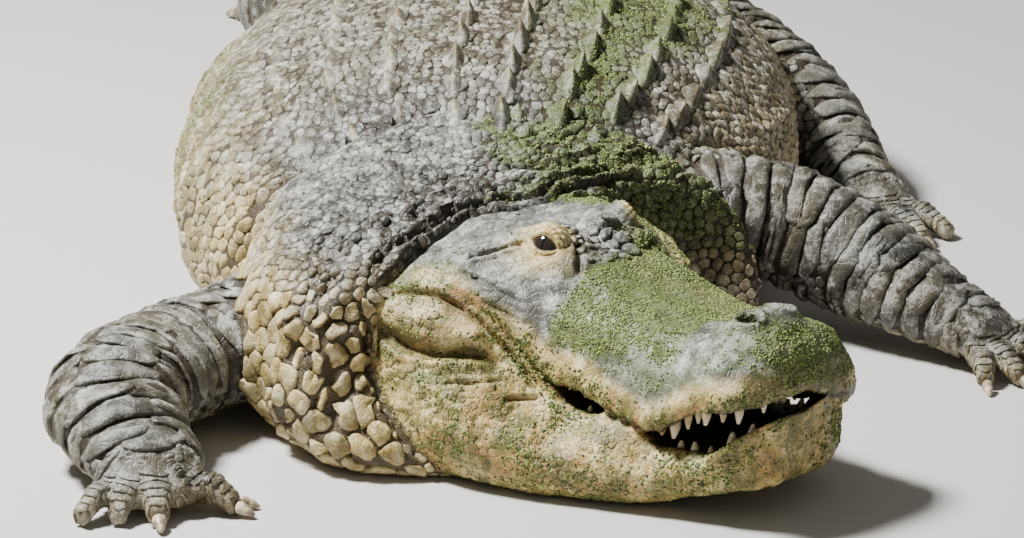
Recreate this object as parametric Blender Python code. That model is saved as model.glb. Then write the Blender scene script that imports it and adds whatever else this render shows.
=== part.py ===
"""A life-size American alligator at rest on its belly, its head turned to its own left.

Metres, +Z up. The animal faces -Y, its own left is +X, and it lies on z = 0. The origin is under the
middle of the belly. The head has a frame of its own: `back` is the distance behind the snout tip as a
share of HEAD_LENGTH, `side` is metres towards the animal's left, and z is the height over the ground.
"""

import bisect
import math

import bmesh
import bpy
from mathutils import Matrix, Vector

# Driving dimensions, in metres.
HEAD_LENGTH = 0.54  # snout tip to the back of the skull table
HEAD_TURN = math.radians(45)  # from straight ahead towards the animal's left
EYE_BACK = 0.667  # share of the head's length
EYES_MIDDLE = Vector((0.12, -0.87))  # plan point midway between the eyes
EYE_RADIUS = 0.021
EYE_SIDE = 0.062
EYE_HEIGHT = 0.262
PART_GAP = 0.0004  # thin cut between neighbouring parts
SCUTE_PITCH = 0.075  # spacing of the tail's crest scutes
TAIL_SCUTES = (9, 8, 6)  # crest scutes on each length of the tail
TAIL_START = 0.66
BACK_LEAN = 0.035  # how far the top of the back leans towards the animal's left
BELLY_FLAT = 0.030  # depth that the floor takes off the rounded belly and tail
NECK_FLAT = 0.012  # the same, off the neck

# Plan points of the backbone: distance along Y, then X.
SPINE = [
    (-0.60, -0.045), (-0.42, -0.042), (-0.2, -0.015), (0.0, 0.0), (0.6, 0.0), (1.1, 0.07), (1.6, 0.22),
    (2.0, 0.33), (2.42, 0.35),
]

# Trunk and tail: half width, height of the back and height of the widest point, along Y.
HALF_WIDTH = [
    (-0.575, 0.19), (-0.56, 0.25), (-0.525, 0.30), (-0.47, 0.335), (-0.40, 0.365), (-0.3, 0.395),
    (-0.1, 0.426), (0.1, 0.424), (0.25, 0.388), (0.4, 0.315), (0.55, 0.228), (0.7, 0.178), (1.0, 0.128),
    (1.3, 0.092), (1.6, 0.064), (1.9, 0.043), (2.15, 0.027), (2.42, 0.008),
]
BACK_HEIGHT = [
    (-0.575, 0.220), (-0.56, 0.275), (-0.525, 0.315), (-0.47, 0.336), (-0.40, 0.348), (-0.3, 0.362),
    (-0.15, 0.374), (0.0, 0.368), (0.15, 0.354), (0.3, 0.338), (0.45, 0.318), (0.6, 0.298), (0.7, 0.282),
    (1.0, 0.236), (1.3, 0.196), (1.6, 0.160), (1.9, 0.122), (2.15, 0.085), (2.42, 0.022),
]
WIDEST_HEIGHT = [
    (-0.575, 0.10), (-0.5, 0.105), (0.0, 0.11), (0.4, 0.12), (0.7, 0.125), (1.3, 0.085), (2.42, 0.01),
]
KEEL_HEIGHT = [(-0.56, 0.0), (-0.5, 0.014), (-0.4, 0.020), (0.3, 0.020), (0.7, 0.014)]
KEEL_ANGLES = (5.5, 19.0, 32.0, 45.0)  # keel rows each side of the midline, degrees round from the top
VALLEY_ANGLES = (12.0, 25.5, 38.5, 52.0)
FLANK_ANGLES = (64.0, 76.0, 90.0, 106.0, 126.0, 146.0)

# Neck: from inside the shoulders (0) to the crease behind the head (1).
NECK_START = Vector((-0.02, -0.43))
NECK_END_BACK = 0.925  # where the neck meets the head, as a share of the head's length
NECK_PLACES = (0.0, 0.28, 0.5, 0.66, 0.79, 0.89, 0.96, 1.0)
NECK_RIGHT = [
    (0.0, 0.18), (0.28, 0.285), (0.5, 0.295), (0.66, 0.310), (0.79, 0.322), (0.89, 0.320), (0.96, 0.300),
    (1.0, 0.262),
]
NECK_LEFT = [
    (0.0, 0.18), (0.28, 0.345), (0.5, 0.372), (0.66, 0.358), (0.79, 0.305), (0.89, 0.262), (0.96, 0.242),
    (1.0, 0.220),
]
NECK_TOP = [
    (0.0, 0.26), (0.28, 0.318), (0.5, 0.306), (0.79, 0.290), (0.89, 0.282), (0.96, 0.268), (1.0, 0.246),
]
NECK_WIDEST = 0.115
JOWL_REACH = 0.13  # how far the neck's foot runs forward under the jaw
FOLD_REACH = 0.12  # how far the fold on the inside of the neck's bend is pushed forward
NAPE_REACH = 0.022  # how far the fold on top of the neck runs forward over the head

# Tail: height of the crest's scutes, and how far the two crests stand apart before they meet.
CREST_HEIGHT = [
    (0.6, 0.0), (0.72, 0.012), (1.0, 0.034), (1.35, 0.050), (1.6, 0.060), (2.1, 0.045), (2.42, 0.012),
]
CREST_SPREAD = [(0.6, 0.085), (1.0, 0.062), (1.3, 0.030), (1.42, 0.004), (2.42, 0.003)]

# Head, against `back`.
HEAD_STATIONS = (
    0.0, 0.012, 0.035, 0.07, 0.115, 0.16, 0.205, 0.25, 0.295, 0.34, 0.39, 0.43, 0.47, 0.51, 0.56, 0.61,
    0.667, 0.72, 0.78, 0.84, 0.92, 1.0,
)
SNOUT_HALF_WIDTH = [
    (0.0, 0.048), (0.012, 0.078), (0.035, 0.101), (0.065, 0.112), (0.10, 0.117), (0.16, 0.117), (0.21, 0.113),
    (0.30, 0.123), (0.42, 0.124), (0.55, 0.132), (0.667, 0.150), (0.80, 0.180), (0.92, 0.198), (1.04, 0.190),
]
CROWN_HEIGHT = [
    (0.0, 0.182), (0.012, 0.197), (0.035, 0.210), (0.075, 0.220), (0.14, 0.221), (0.22, 0.217), (0.35, 0.223),
    (0.48, 0.237), (0.58, 0.254), (0.667, 0.266), (0.75, 0.272), (0.9, 0.268), (1.04, 0.250),
]
LIP_HEIGHT = [
    (0.0, 0.151), (0.05, 0.148), (0.10, 0.142), (0.16, 0.128), (0.22, 0.107), (0.27, 0.098), (0.33, 0.102),
    (0.38, 0.107), (0.43, 0.120), (0.48, 0.126), (0.53, 0.122), (0.57, 0.136), (0.62, 0.162), (0.72, 0.203),
    (0.79, 0.220), (0.86, 0.216), (0.92, 0.205), (1.04, 0.190),
]
MOUTH_OPENING = [
    (0.0, 0.024), (0.035, 0.036), (0.07, 0.049), (0.1, 0.055), (0.16, 0.045), (0.22, 0.026), (0.27, 0.016),
    (0.31, 0.0), (0.37, 0.0), (0.41, 0.014), (0.45, 0.029), (0.49, 0.025), (0.53, 0.0), (1.04, 0.0),
]
LIP_SAG = 0.014
RIM_LIFT = 0.009
JAW_TOP_HALF_WIDTH = [
    (0.0, 0.033), (0.012, 0.060), (0.035, 0.083), (0.065, 0.094), (0.10, 0.100), (0.16, 0.104), (0.27, 0.114),
    (0.42, 0.124), (0.55, 0.138), (0.667, 0.158), (0.80, 0.186), (0.92, 0.202), (1.04, 0.192),
]
JAW_BASE_HALF_WIDTH = [
    (0.0, 0.036), (0.012, 0.063), (0.035, 0.086), (0.065, 0.100), (0.10, 0.109), (0.20, 0.130), (0.27, 0.148),
    (0.35, 0.170), (0.43, 0.190), (0.49, 0.206), (0.55, 0.220), (0.66, 0.240), (0.80, 0.246), (0.92, 0.232),
    (1.0, 0.212),
]
JAW_FLOOR_HEIGHT = [
    (0.0, 0.056), (0.012, 0.047), (0.035, 0.040), (0.1, 0.033), (0.18, 0.019), (0.26, 0.006), (0.31, 0.0),
]


def along(stations, at):
    """The value at `at` on a smooth curve through (position, value) stations, without overshoot."""
    places = [place for place, _ in stations]
    values = [value for _, value in stations]
    if at <= places[0]:
        return values[0]
    if at >= places[-1]:
        return values[-1]

    def slope(i):
        if i in (0, len(places) - 1):
            return 0.0
        before = (values[i] - values[i - 1]) / (places[i] - places[i - 1])
        after = (values[i + 1] - values[i]) / (places[i + 1] - places[i])
        return 0.0 if before * after <= 0 else 2 * before * after / (before + after)

    i = bisect.bisect_right(places, at) - 1
    span = places[i + 1] - places[i]
    t = (at - places[i]) / span
    rise = (3 - 2 * t) * t * t
    return (
        values[i] * (1 - rise)
        + values[i + 1] * rise
        + span * slope(i) * t * (1 - t) ** 2
        - span * slope(i + 1) * t * t * (1 - t)
    )


def swell(distance, width):
    """A smooth bump: 1 at distance 0, falling away over `width`."""
    return math.exp(-((distance / width) ** 2))


def superellipse(angle, power):
    """(across, up) on a unit superellipse. The angle is from the top; power 2 is a circle."""
    across, up = math.sin(angle), math.cos(angle)
    shape = 2.0 / power
    return math.copysign(abs(across) ** shape, across), math.copysign(abs(up) ** shape, up)


def material(name, colour, roughness, metallic=0.0):
    made = bpy.data.materials.new(name)
    made.use_nodes = True
    shader = made.node_tree.nodes["Principled BSDF"]
    shader.inputs["Base Color"].default_value = (*colour, 1.0)
    shader.inputs["Roughness"].default_value = roughness
    shader.inputs["Metallic"].default_value = metallic
    return made


def face_out(shape):
    bmesh.ops.recalc_face_normals(shape, faces=shape.faces)
    if shape.calc_volume(signed=True) < 0:
        bmesh.ops.reverse_faces(shape, faces=shape.faces)


def add_object(name, shape, finish, helper=False):
    """Turns a bmesh into a named object. A helper is left out of the part."""
    bmesh.ops.triangulate(shape, faces=shape.faces)
    face_out(shape)
    mesh = bpy.data.meshes.new(name)
    shape.to_mesh(mesh)
    shape.free()
    mesh.shade_smooth()
    made = bpy.data.objects.new(name, mesh)
    bpy.context.scene.collection.objects.link(made)
    if finish:
        mesh.materials.append(finish)
    if helper:
        made.hide_render = True
        made.display_type = "WIRE"
    return made


def loft_into(shape, rings, domed=False):
    """Adds a closed body to the bmesh: a skin over equal rings of points, with both ends filled.

    Domed ends meet at the middle of their ring, for rings that aren't flat.
    """
    loops = [[shape.verts.new(point) for point in ring] for ring in rings]
    count = len(loops[0])
    for near, far in zip(loops, loops[1:]):
        for i in range(count):
            shape.faces.new((near[i], near[(i + 1) % count], far[(i + 1) % count], far[i]))
    for loop in (loops[0], loops[-1]):
        if not domed:
            shape.faces.new(loop)
            continue
        middle = shape.verts.new(sum((vert.co for vert in loop), Vector()) / count)
        for i in range(count):
            shape.faces.new((loop[i], loop[(i + 1) % count], middle))


def loft(name, rings, finish, domed=False):
    shape = bmesh.new()
    loft_into(shape, rings, domed)
    return add_object(name, shape, finish)


def cut_away(target, *others):
    """Cuts slightly grown copies of the others out of the target."""
    for other in others:
        shape = bmesh.new()
        shape.from_mesh(other.data)
        face_out(shape)
        shape.normal_update()
        moves = [vert.normal * PART_GAP for vert in shape.verts]
        for vert, move in zip(shape.verts, moves):
            vert.co += move
        cutter = add_object(f"{target.name}_without_{other.name}", shape, None, helper=True)
        cut = target.modifiers.new("without " + other.name, "BOOLEAN")
        cut.operation = "DIFFERENCE"
        cut.solver = "EXACT"
        cut.object = cutter


def join_to(target, other):
    join = target.modifiers.new("with " + other.name, "BOOLEAN")
    join.operation = "UNION"
    join.solver = "EXACT"
    join.use_self = True
    join.object = other


# Body


def spine_frame(y):
    """Plan centre of the backbone at y, and the level direction across it, towards the left."""
    step = 0.01
    lean = (along(SPINE, y + step) - along(SPINE, y - step)) / (2 * step)
    across = Vector((1.0, -lean, 0.0)).normalized()
    return Vector((along(SPINE, y), y, 0.0)), across


def body_point(y, degrees, lift=0.0):
    """A point of the neck, trunk or tail at an angle round from the top of the back."""
    centre, across = spine_frame(y)
    half_width = along(HALF_WIDTH, y)
    widest = along(WIDEST_HEIGHT, y)
    angle = math.radians(degrees)
    if abs(degrees) <= 90:
        side, up = superellipse(angle, 2.05)
        height = widest + (along(BACK_HEIGHT, y) - widest) * up
    else:
        side, up = superellipse(angle, 2.8)
        height = widest + (widest + BELLY_FLAT) * up
    outwards = across * math.sin(angle) + Vector((0, 0, math.cos(angle)))
    lean = BACK_LEAN * max(up, 0.0) * min(1.0, half_width / 0.3)
    point = centre + across * (half_width * side + lean) + Vector((0, 0, height)) + outwards * lift
    point.z = max(point.z, 0.0)
    return point


def trunk_ring(y):
    """A ring of the neck or trunk, its keel rows raised."""
    keel = along(KEEL_HEIGHT, y)
    left = []
    for keel_angle, valley_angle in zip(KEEL_ANGLES, VALLEY_ANGLES):
        left += [(keel_angle, keel), (valley_angle, 0.0)]
    left += [(angle, 0.0) for angle in FLANK_ANGLES]
    right = [(-angle, lift) for angle, lift in reversed(left)]
    return [body_point(y, angle, lift) for angle, lift in [(0.0, 0.0), *left, (180.0, 0.0), *right]]


def tail_ring(y, crest):
    """A ring of the tail. `crest` is how far the crest stands up here."""
    centre, across = spine_frame(y)
    half_width = along(HALF_WIDTH, y)
    back = along(BACK_HEIGHT, y)
    spread = along(CREST_SPREAD, y)
    outer = min(spread + 0.012, half_width * 0.9)
    upper = [(spread * 0.5 if spread > 0.01 else spread, back), (spread, back + crest), (outer, back - 0.006)]
    if spread <= 0.01:
        upper[0] = (spread * 0.5, back + crest * 0.98)
    left = [centre + across * side + Vector((0, 0, height)) for side, height in upper]
    left += [body_point(y, angle) for angle in (60.0, 85.0, 115.0, 145.0)]
    right = []
    for point in reversed(left):
        side = (point - centre).dot(across)
        right.append(point - across * 2 * side)
    return left + right


def spaced(first, last, count):
    return [first + (last - first) * i / (count - 1) for i in range(count)]


def neck_ring(place):
    """A ring of the neck, which turns from the trunk's heading to the head's and slides under the jaw."""
    ahead = Vector((math.sin(HEAD_TURN), -math.cos(HEAD_TURN)))
    end = EYES_MIDDLE + ahead * (EYE_BACK - NECK_END_BACK) * HEAD_LENGTH
    pull = (end - NECK_START).length * 0.4
    before, after = NECK_START - Vector((0, pull)), end - ahead * pull
    rest = 1 - place
    centre = NECK_START * rest**3 + before * 3 * rest**2 * place
    centre += after * 3 * rest * place**2 + end * place**3
    turn = HEAD_TURN * place
    across = Vector((math.cos(turn), math.sin(turn), 0.0))
    forwards = Vector((math.sin(turn), -math.cos(turn), 0.0))
    top = along(NECK_TOP, place)
    ring = []
    for degrees in range(0, 360, 18):
        angle = math.radians(degrees)
        side, up = superellipse(angle, 2.2 if degrees <= 90 or degrees >= 270 else 4.5)
        half_width = along(NECK_LEFT if side > 0 else NECK_RIGHT, place)
        height = NECK_WIDEST + (top - NECK_WIDEST if up > 0 else NECK_WIDEST + NECK_FLAT) * up
        height = max(height, 0.0)
        reach = JOWL_REACH * max(0.0, 1 - height / 0.13) + NAPE_REACH * max(0.0, (height - 0.20) / 0.05)
        reach = reach * place**3 + FOLD_REACH * max(side, 0.0) ** 2 * swell(place - 0.5, 0.35)
        point = Vector((centre.x, centre.y, height)) + across * half_width * side + forwards * reach
        ring.append(point)
    return ring


def make_body(hide):
    trunk_places = [-0.575, -0.56, -0.525, -0.47, -0.40, -0.31, *spaced(-0.21, TAIL_START, 9)]
    trunk = loft("trunk", [trunk_ring(y) for y in trunk_places], hide)
    neck = loft("neck", [neck_ring(place) for place in NECK_PLACES], hide, domed=True)
    start = TAIL_START
    tail = []
    for name, scutes in zip(("tail_base", "tail_middle", "tail_tip"), TAIL_SCUTES):
        rings = []
        for i in range(scutes):
            low = start + i * SCUTE_PITCH + (PART_GAP if i == 0 else 0.0)
            high = start + (i + 0.86) * SCUTE_PITCH
            rings.append(tail_ring(low, 0.25 * along(CREST_HEIGHT, low)))
            rings.append(tail_ring(high, along(CREST_HEIGHT, high)))
        start += scutes * SCUTE_PITCH
        rings.append(tail_ring(start, 0.25 * along(CREST_HEIGHT, start)))
        tail.append(loft(name, rings, hide))
    return neck, trunk, tail[0]


# Head


def head_point(back, side, height):
    """A point of the head's own frame, in the world."""
    ahead = Vector((math.sin(HEAD_TURN), -math.cos(HEAD_TURN)))
    left = Vector((math.cos(HEAD_TURN), math.sin(HEAD_TURN)))
    plan = EYES_MIDDLE + ahead * (EYE_BACK - back) * HEAD_LENGTH + left * side
    return Vector((plan.x, plan.y, height))


def at_head(stations, back):
    """The value at `back` as the faceted head has it, straight between its rings."""
    i = min(max(bisect.bisect_right(HEAD_STATIONS, back) - 1, 0), len(HEAD_STATIONS) - 2)
    near, far = HEAD_STATIONS[i], HEAD_STATIONS[i + 1]
    share = (back - near) / (far - near)
    return along(stations, near) * (1 - share) + along(stations, far) * share


def crown_rise(back, side):
    """Height that the nostrils, eyes, brows and skull table add to the plain crown."""
    nostrils = 0.018 * swell(back - 0.125, 0.050) * swell(side, 0.048)
    brow = 0.022 * swell(back - EYE_BACK, 0.060) * swell(abs(side) - 0.058, 0.026)
    between_eyes = -0.010 * swell(back - EYE_BACK, 0.08) * swell(side, 0.022)
    ridge = 0.007 * swell(back - 0.52, 0.10) * swell(abs(side) - 0.058, 0.020)
    table_edge = 0.010 * swell(back - 0.85, 0.12) * swell(abs(side) - 0.062, 0.024)
    return nostrils + brow + between_eyes + ridge + table_edge


def left_sag(back, side):
    """0 to 1 on the left front of the mouth, where the lips hang closer together than on the right."""
    along_mouth = min(1.0, max(0.0, (0.24 - back) / 0.12))
    towards_left = min(1.0, max(0.0, (side + 0.02) / 0.09))
    return along_mouth**2 * (3 - 2 * along_mouth) * towards_left**2 * (3 - 2 * towards_left)


def lip_at(back, side):
    return at_head(LIP_HEIGHT, back) - LIP_SAG * left_sag(back, side)


def rim_at(back, side):
    """Height of the lower jaw's rim."""
    gap = max(at_head(MOUTH_OPENING, back), PART_GAP)
    return at_head(LIP_HEIGHT, back) - gap + RIM_LIFT * left_sag(back, side)


def skull_ring(back):
    """A ring of the upper head: over the crown from lip to lip, then back under the palate."""
    half_width = along(SNOUT_HALF_WIDTH, back)
    lip = along(LIP_HEIGHT, back)
    crown = along(CROWN_HEIGHT, back)
    cheek_slope = along([(0.0, 2.7), (0.5, 2.5), (0.667, 2.1), (0.85, 1.75), (1.13, 1.8)], back)
    ring = []
    for degrees in (-90, -81, -71, -60, -49, -37, -25, -13, 0, 13, 25, 37, 49, 60, 71, 81, 90):
        across, up = superellipse(math.radians(degrees), cheek_slope)
        side = half_width * across
        low = lip - LIP_SAG * left_sag(back, side)
        height = low + (crown - low) * max(up, 0.0)
        height += crown_rise(back, side) * min(1.0, 2 * max(up, 0.0))
        ring.append(head_point(back, side, height))
    ring.append(head_point(back, 0.0, lip + 0.004))
    return ring


def jaw_ring(back):
    """A ring of the lower jaw and throat, from the rim of the mouth down to the ground."""
    rim = along(LIP_HEIGHT, back) - max(along(MOUTH_OPENING, back), PART_GAP)
    left_rim = rim + RIM_LIFT * left_sag(back, 0.1)
    floor = along(JAW_FLOOR_HEIGHT, back)
    top = along(JAW_TOP_HALF_WIDTH, back)
    base = along(JAW_BASE_HALF_WIDTH, back)
    bulge = floor + (rim - floor) * 0.42
    inset = min(0.045, base * 0.45)
    right = [
        (top, rim),
        (top + (base - top) * 0.45 + 0.003, rim + (bulge - rim) * 0.35),
        (top + (base - top) * 0.85 + 0.003, rim + (bulge - rim) * 0.70),
        (base, bulge),
        (base - inset * 0.12, floor + (bulge - floor) * 0.50),
        (base - inset * 0.42, floor + (bulge - floor) * 0.16),
        (base - inset, floor),
    ]
    left = [(side, height + (left_rim - rim) * max(0.0, 1 - i / 3)) for i, (side, height) in enumerate(right)]
    right = [(-side, height) for side, height in reversed(right)]
    ring = [*left, *right, (0.0, rim - 0.004 if rim < along(LIP_HEIGHT, back) - 0.002 else rim)]
    return [head_point(back, side, height) for side, height in ring]


def make_head(hide, eye_finish):
    skull = loft("head", [skull_ring(back) for back in HEAD_STATIONS], hide)
    jaw = loft("lower_jaw", [jaw_ring(back) for back in HEAD_STATIONS], hide)
    for name, side in (("right", -1), ("left", 1)):
        shape = bmesh.new()
        bmesh.ops.create_uvsphere(shape, u_segments=10, v_segments=7, radius=EYE_RADIUS)
        roll = Matrix.Rotation(0.13 + 0.2 * side, 3, "X")
        bmesh.ops.rotate(shape, verts=shape.verts, cent=(0, 0, 0), matrix=roll)
        centre = head_point(EYE_BACK, side * EYE_SIDE, EYE_HEIGHT)
        bmesh.ops.translate(shape, verts=shape.verts, vec=centre)
        cut_away(skull, add_object(f"eye_{name}", shape, eye_finish))
    return skull, jaw


def tooth_row(name, path, rim_height, inset, length_at, grow, finish):
    """A gum strip just inside the lips along a path of (back, side sign), with teeth raised from it."""
    gum_depth, gum_width = 0.005, 0.010
    rings = []
    for index, (back, side_sign) in enumerate(path):
        half_width = at_head(SNOUT_HALF_WIDTH, back) - inset
        room = at_head(MOUTH_OPENING, back) * 0.85 - gum_depth
        room -= (LIP_SAG + RIM_LIFT) * left_sag(back, side_sign * half_width)
        spike = min(length_at(back), room) if index % 2 else 0.0
        base = rim_height(back, side_sign * half_width)
        outer, inner = side_sign * half_width, side_sign * (half_width - gum_width)
        profile = [
            (outer, base), (outer, base + grow * gum_depth),
            ((outer + inner) / 2, base + grow * (gum_depth + spike)),
            (inner, base + grow * gum_depth), (inner, base),
        ]
        rings.append([head_point(back, side, height) for side, height in profile])
    return loft(name, rings, finish)


def round_front(reach, turn, steps):
    """A horseshoe path of (back, side sign) round the front of the snout."""
    backs = spaced(reach, turn, steps)
    return [(back, -1) for back in backs] + [(back, 1) for back in reversed(backs)]


def make_teeth(finish):
    def upper_length(back):
        return 0.015 + 0.009 * swell(back - 0.22, 0.05) + 0.008 * swell(back - 0.08, 0.05)

    def lower_length(back):
        return 0.014 + 0.010 * swell(back - 0.18, 0.04) + 0.004 * swell(back - 0.05, 0.03)

    def upper_base(back, side):
        return lip_at(back, side) - PART_GAP * 2

    def lower_base(back, side):
        return rim_at(back, side) + PART_GAP * 2

    tooth_row("upper_teeth", round_front(0.262, 0.018, 19), upper_base, 0.009, upper_length, -1, finish)
    tooth_row("lower_teeth", round_front(0.215, 0.035, 13), lower_base, 0.030, lower_length, 1, finish)
    for side, sign in (("right", -1), ("left", 1)):
        path = [(back, sign) for back in spaced(0.425, 0.505, 9)]
        tooth_row(f"cheek_teeth_{side}", path, upper_base, 0.006, lambda back: 0.013, -1, finish)


# Limbs


def limb_rings(path):
    """Rings along a limb's path of (centre, half width, half height), each square to the path."""
    rings = []
    for i, (centre, wide, high) in enumerate(path):
        before = Vector(path[max(i - 1, 0)][0])
        after = Vector(path[min(i + 1, len(path) - 1)][0])
        direction = (after - before).normalized()
        across = direction.cross(Vector((0, 0, 1))).normalized()
        up = across.cross(direction)
        ring = []
        for k in range(10):
            angle = math.tau * k / 10
            point = Vector(centre) + across * wide * math.sin(angle) + up * high * math.cos(angle)
            point.z = max(point.z, 0.0)
            ring.append(point)
        rings.append(ring)
    return rings


def shifted(ring, along_direction):
    return [point + along_direction for point in ring]


def make_limb(names, path, joint, hide):
    """The upper and lower lengths of a limb, parted by a thin cut at the joint's ring.

    Also returns the ring that the hand or foot starts from.
    """
    rings = limb_rings(path)
    direction = (Vector(path[joint + 1][0]) - Vector(path[joint - 1][0])).normalized()
    upper = loft(names[0], rings[: joint + 1], hide)
    lower = loft(names[1], [shifted(rings[joint], direction * PART_GAP), *rings[joint + 1 :]], hide)
    end_direction = (Vector(path[-1][0]) - Vector(path[-2][0])).normalized()
    return upper, lower, shifted(rings[-1], end_direction * PART_GAP)


def digit_path(base, heading, length, radius):
    """(centre, half width, half height) along a toe that arches from the foot down to the ground."""
    path = []
    for share, lift, size in ((0.0, 0.0, 1.1), (0.5, 0.009, 1.0), (1.0, -0.004, 0.66)):
        point = base + heading * length * share
        high = radius * size
        middle = max(base.z + lift - share * (base.z - high), high * 0.9)
        path.append(((point.x, point.y, middle), radius * size, high))
    return path


def make_foot(name, wrist, wrist_ring, turn, palm_length, palm_half_width, digits, hide, horn, web):
    """A hand or foot: palm and digits in one piece, and a claw on each of the three inner digits.

    `wrist` is the end of the limb's path, `turn` the heading in degrees from -Y towards +X, and each
    digit is (degrees from the heading, length, radius), from the inner one outwards.
    """
    def level(degrees):
        angle = math.radians(degrees)
        return Vector((math.sin(angle), -math.cos(angle), 0.0))

    centre, wide, _ = wrist
    start = Vector(centre)
    heading = level(turn)
    knuckles = start + heading * palm_length
    knuckles.z = 0.026
    middle = (start + knuckles) / 2 + Vector((0, 0, 0.002))
    palm_path = [
        (tuple(start.lerp(middle, 0.3)), wide, 0.040),
        (tuple(middle), (wide + palm_half_width) / 2, 0.034),
        (tuple(knuckles), palm_half_width, 0.024),
        (tuple(knuckles + heading * 0.016), palm_half_width * 0.86, 0.015),
    ]
    palm = loft(name, [wrist_ring, *limb_rings(palm_path)[1:]], hide)
    shape = bmesh.new()
    tips = []
    for fan, length, radius in digits:
        direction = level(turn + fan)
        offset = direction - heading * direction.dot(heading)
        base = knuckles - heading * 0.018 + offset * palm_half_width * 0.95
        base.z = 0.024
        path = digit_path(base, direction, length, radius)
        loft_into(shape, digit_rings(path, direction))
        tips.append((path, direction))
    if web:
        add_web(shape, knuckles, [tip for tip, _ in tips], web)
    digits_object = add_object(name + "_digits", shape, None, helper=True)
    join_to(palm, digits_object)
    for number, (path, direction) in enumerate(tips[:3], start=1):
        make_claw(f"{name}_claw_{number}", path[-1], direction, horn)


def digit_rings(path, direction):
    across = Vector((-direction.y, direction.x, 0.0))
    rings = []
    for centre, wide, high in path:
        ring = []
        for k in range(6):
            angle = math.tau * (k + 0.5) / 6
            point = Vector(centre) + across * wide * math.sin(angle) + Vector((0, 0, high * math.cos(angle)))
            point.z = max(point.z, 0.0)
            ring.append(point)
        rings.append(ring)
    return rings


def add_web(shape, knuckles, paths, share):
    """Thin webs that fill the angle between neighbouring toes."""
    thickness = 0.008
    for first, second in zip(paths, paths[1:]):
        corners = [knuckles.copy(), Vector(first[1][0]), Vector(second[1][0])]
        corners[1] = knuckles.lerp(corners[1], share)
        corners[2] = knuckles.lerp(corners[2], share)
        low = [Vector((c.x, c.y, 0.004)) for c in corners]
        high = [Vector((c.x, c.y, 0.004 + thickness)) for c in corners]
        loft_into(shape, [low, high])


def make_claw(name, last, direction, horn):
    """A blunt curved claw, set just clear of the end of its digit."""
    (x, y, z), wide, _ = last
    start = Vector((x, y, z)) + direction * PART_GAP
    rings = []
    for share, size, drop in ((0.0, 0.78, 0.0), (0.4, 0.66, 0.001), (0.8, 0.42, 0.004), (1.0, 0.16, 0.0065)):
        radius = wide * size
        centre = start + direction * 0.024 * share - Vector((0, 0, drop))
        centre.z = max(centre.z, radius * 0.95)
        rings.append(digit_rings([(tuple(centre), radius, radius)], direction)[0])
    return loft(name, rings, horn)


RIGHT_DIGITS = (
    (80, 0.046, 0.017), (58, 0.058, 0.020), (4, 0.062, 0.021), (-20, 0.058, 0.018), (-42, 0.066, 0.018),
)
LEFT_DIGITS = (
    (-55, 0.062, 0.017), (-28, 0.080, 0.019), (0, 0.085, 0.020), (26, 0.076, 0.018), (52, 0.064, 0.017),
)
LEG_DIGITS = ((34, 0.080, 0.020), (12, 0.096, 0.021), (-10, 0.100, 0.021), (-32, 0.090, 0.019))


def mirrored(digits):
    return tuple((-fan, length, radius) for fan, length, radius in digits)


def make_limbs(hide, horn, trunk, neck, tail_base):
    right_arm = [
        ((-0.13, -0.56, 0.105), 0.090, 0.090), ((-0.24, -0.665, 0.090), 0.090, 0.083),
        ((-0.325, -0.752, 0.080), 0.090, 0.076), ((-0.395, -0.828, 0.079), 0.092, 0.076),
        ((-0.442, -0.900, 0.078), 0.094, 0.076), ((-0.447, -0.967, 0.073), 0.092, 0.069),
        ((-0.424, -1.030, 0.060), 0.080, 0.055), ((-0.398, -1.078, 0.048), 0.070, 0.042),
    ]
    left_arm = [
        ((0.10, -0.46, 0.155), 0.085, 0.085), ((0.22, -0.452, 0.157), 0.086, 0.086),
        ((0.310, -0.442, 0.154), 0.085, 0.085), ((0.388, -0.442, 0.138), 0.084, 0.084),
        ((0.450, -0.465, 0.114), 0.082, 0.082), ((0.510, -0.503, 0.091), 0.081, 0.074),
        ((0.566, -0.545, 0.068), 0.070, 0.056), ((0.612, -0.577, 0.050), 0.064, 0.042),
    ]
    left_leg = [
        ((0.08, 0.47, 0.150), 0.100, 0.100), ((0.19, 0.42, 0.158), 0.110, 0.110),
        ((0.285, 0.345, 0.155), 0.106, 0.108), ((0.362, 0.260, 0.140), 0.096, 0.100),
        ((0.424, 0.180, 0.120), 0.087, 0.090), ((0.468, 0.110, 0.095), 0.077, 0.074),
        ((0.500, 0.050, 0.070), 0.063, 0.056), ((0.523, 0.002, 0.050), 0.056, 0.042),
    ]
    right_leg = [
        ((-0.09, 0.47, 0.150), 0.100, 0.100), ((-0.185, 0.515, 0.154), 0.105, 0.108),
        ((-0.252, 0.580, 0.148), 0.101, 0.104), ((-0.290, 0.655, 0.132), 0.094, 0.096),
        ((-0.310, 0.740, 0.112), 0.086, 0.088), ((-0.315, 0.820, 0.088), 0.076, 0.073),
        ((-0.310, 0.890, 0.067), 0.063, 0.056), ((-0.302, 0.945, 0.050), 0.056, 0.042),
    ]
    limbs = (
        ("right", ("upper_arm", "forearm", "hand"), right_arm, 6, 0.050, 0.064, RIGHT_DIGITS, 0.0),
        ("left", ("upper_arm", "forearm", "hand"), left_arm, 60, 0.060, 0.060, LEFT_DIGITS, 0.0),
        ("left", ("thigh", "shank", "foot"), left_leg, 20, 0.070, 0.060, mirrored(LEG_DIGITS), 0.85),
        ("right", ("thigh", "shank", "foot"), right_leg, -165, 0.085, 0.062, LEG_DIGITS, 0.85),
    )
    for side, parts, path, turn, palm_length, palm_half_width, digits, web in limbs:
        names = [f"{part}_{side}" for part in parts]
        upper, lower, wrist_ring = make_limb(names[:2], path, 4, hide)
        cut_away(upper, trunk, neck, tail_base)
        cut_away(lower, trunk, neck)
        make_foot(names[2], path[-1], wrist_ring, turn, palm_length, palm_half_width, digits, hide, horn, web)


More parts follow.
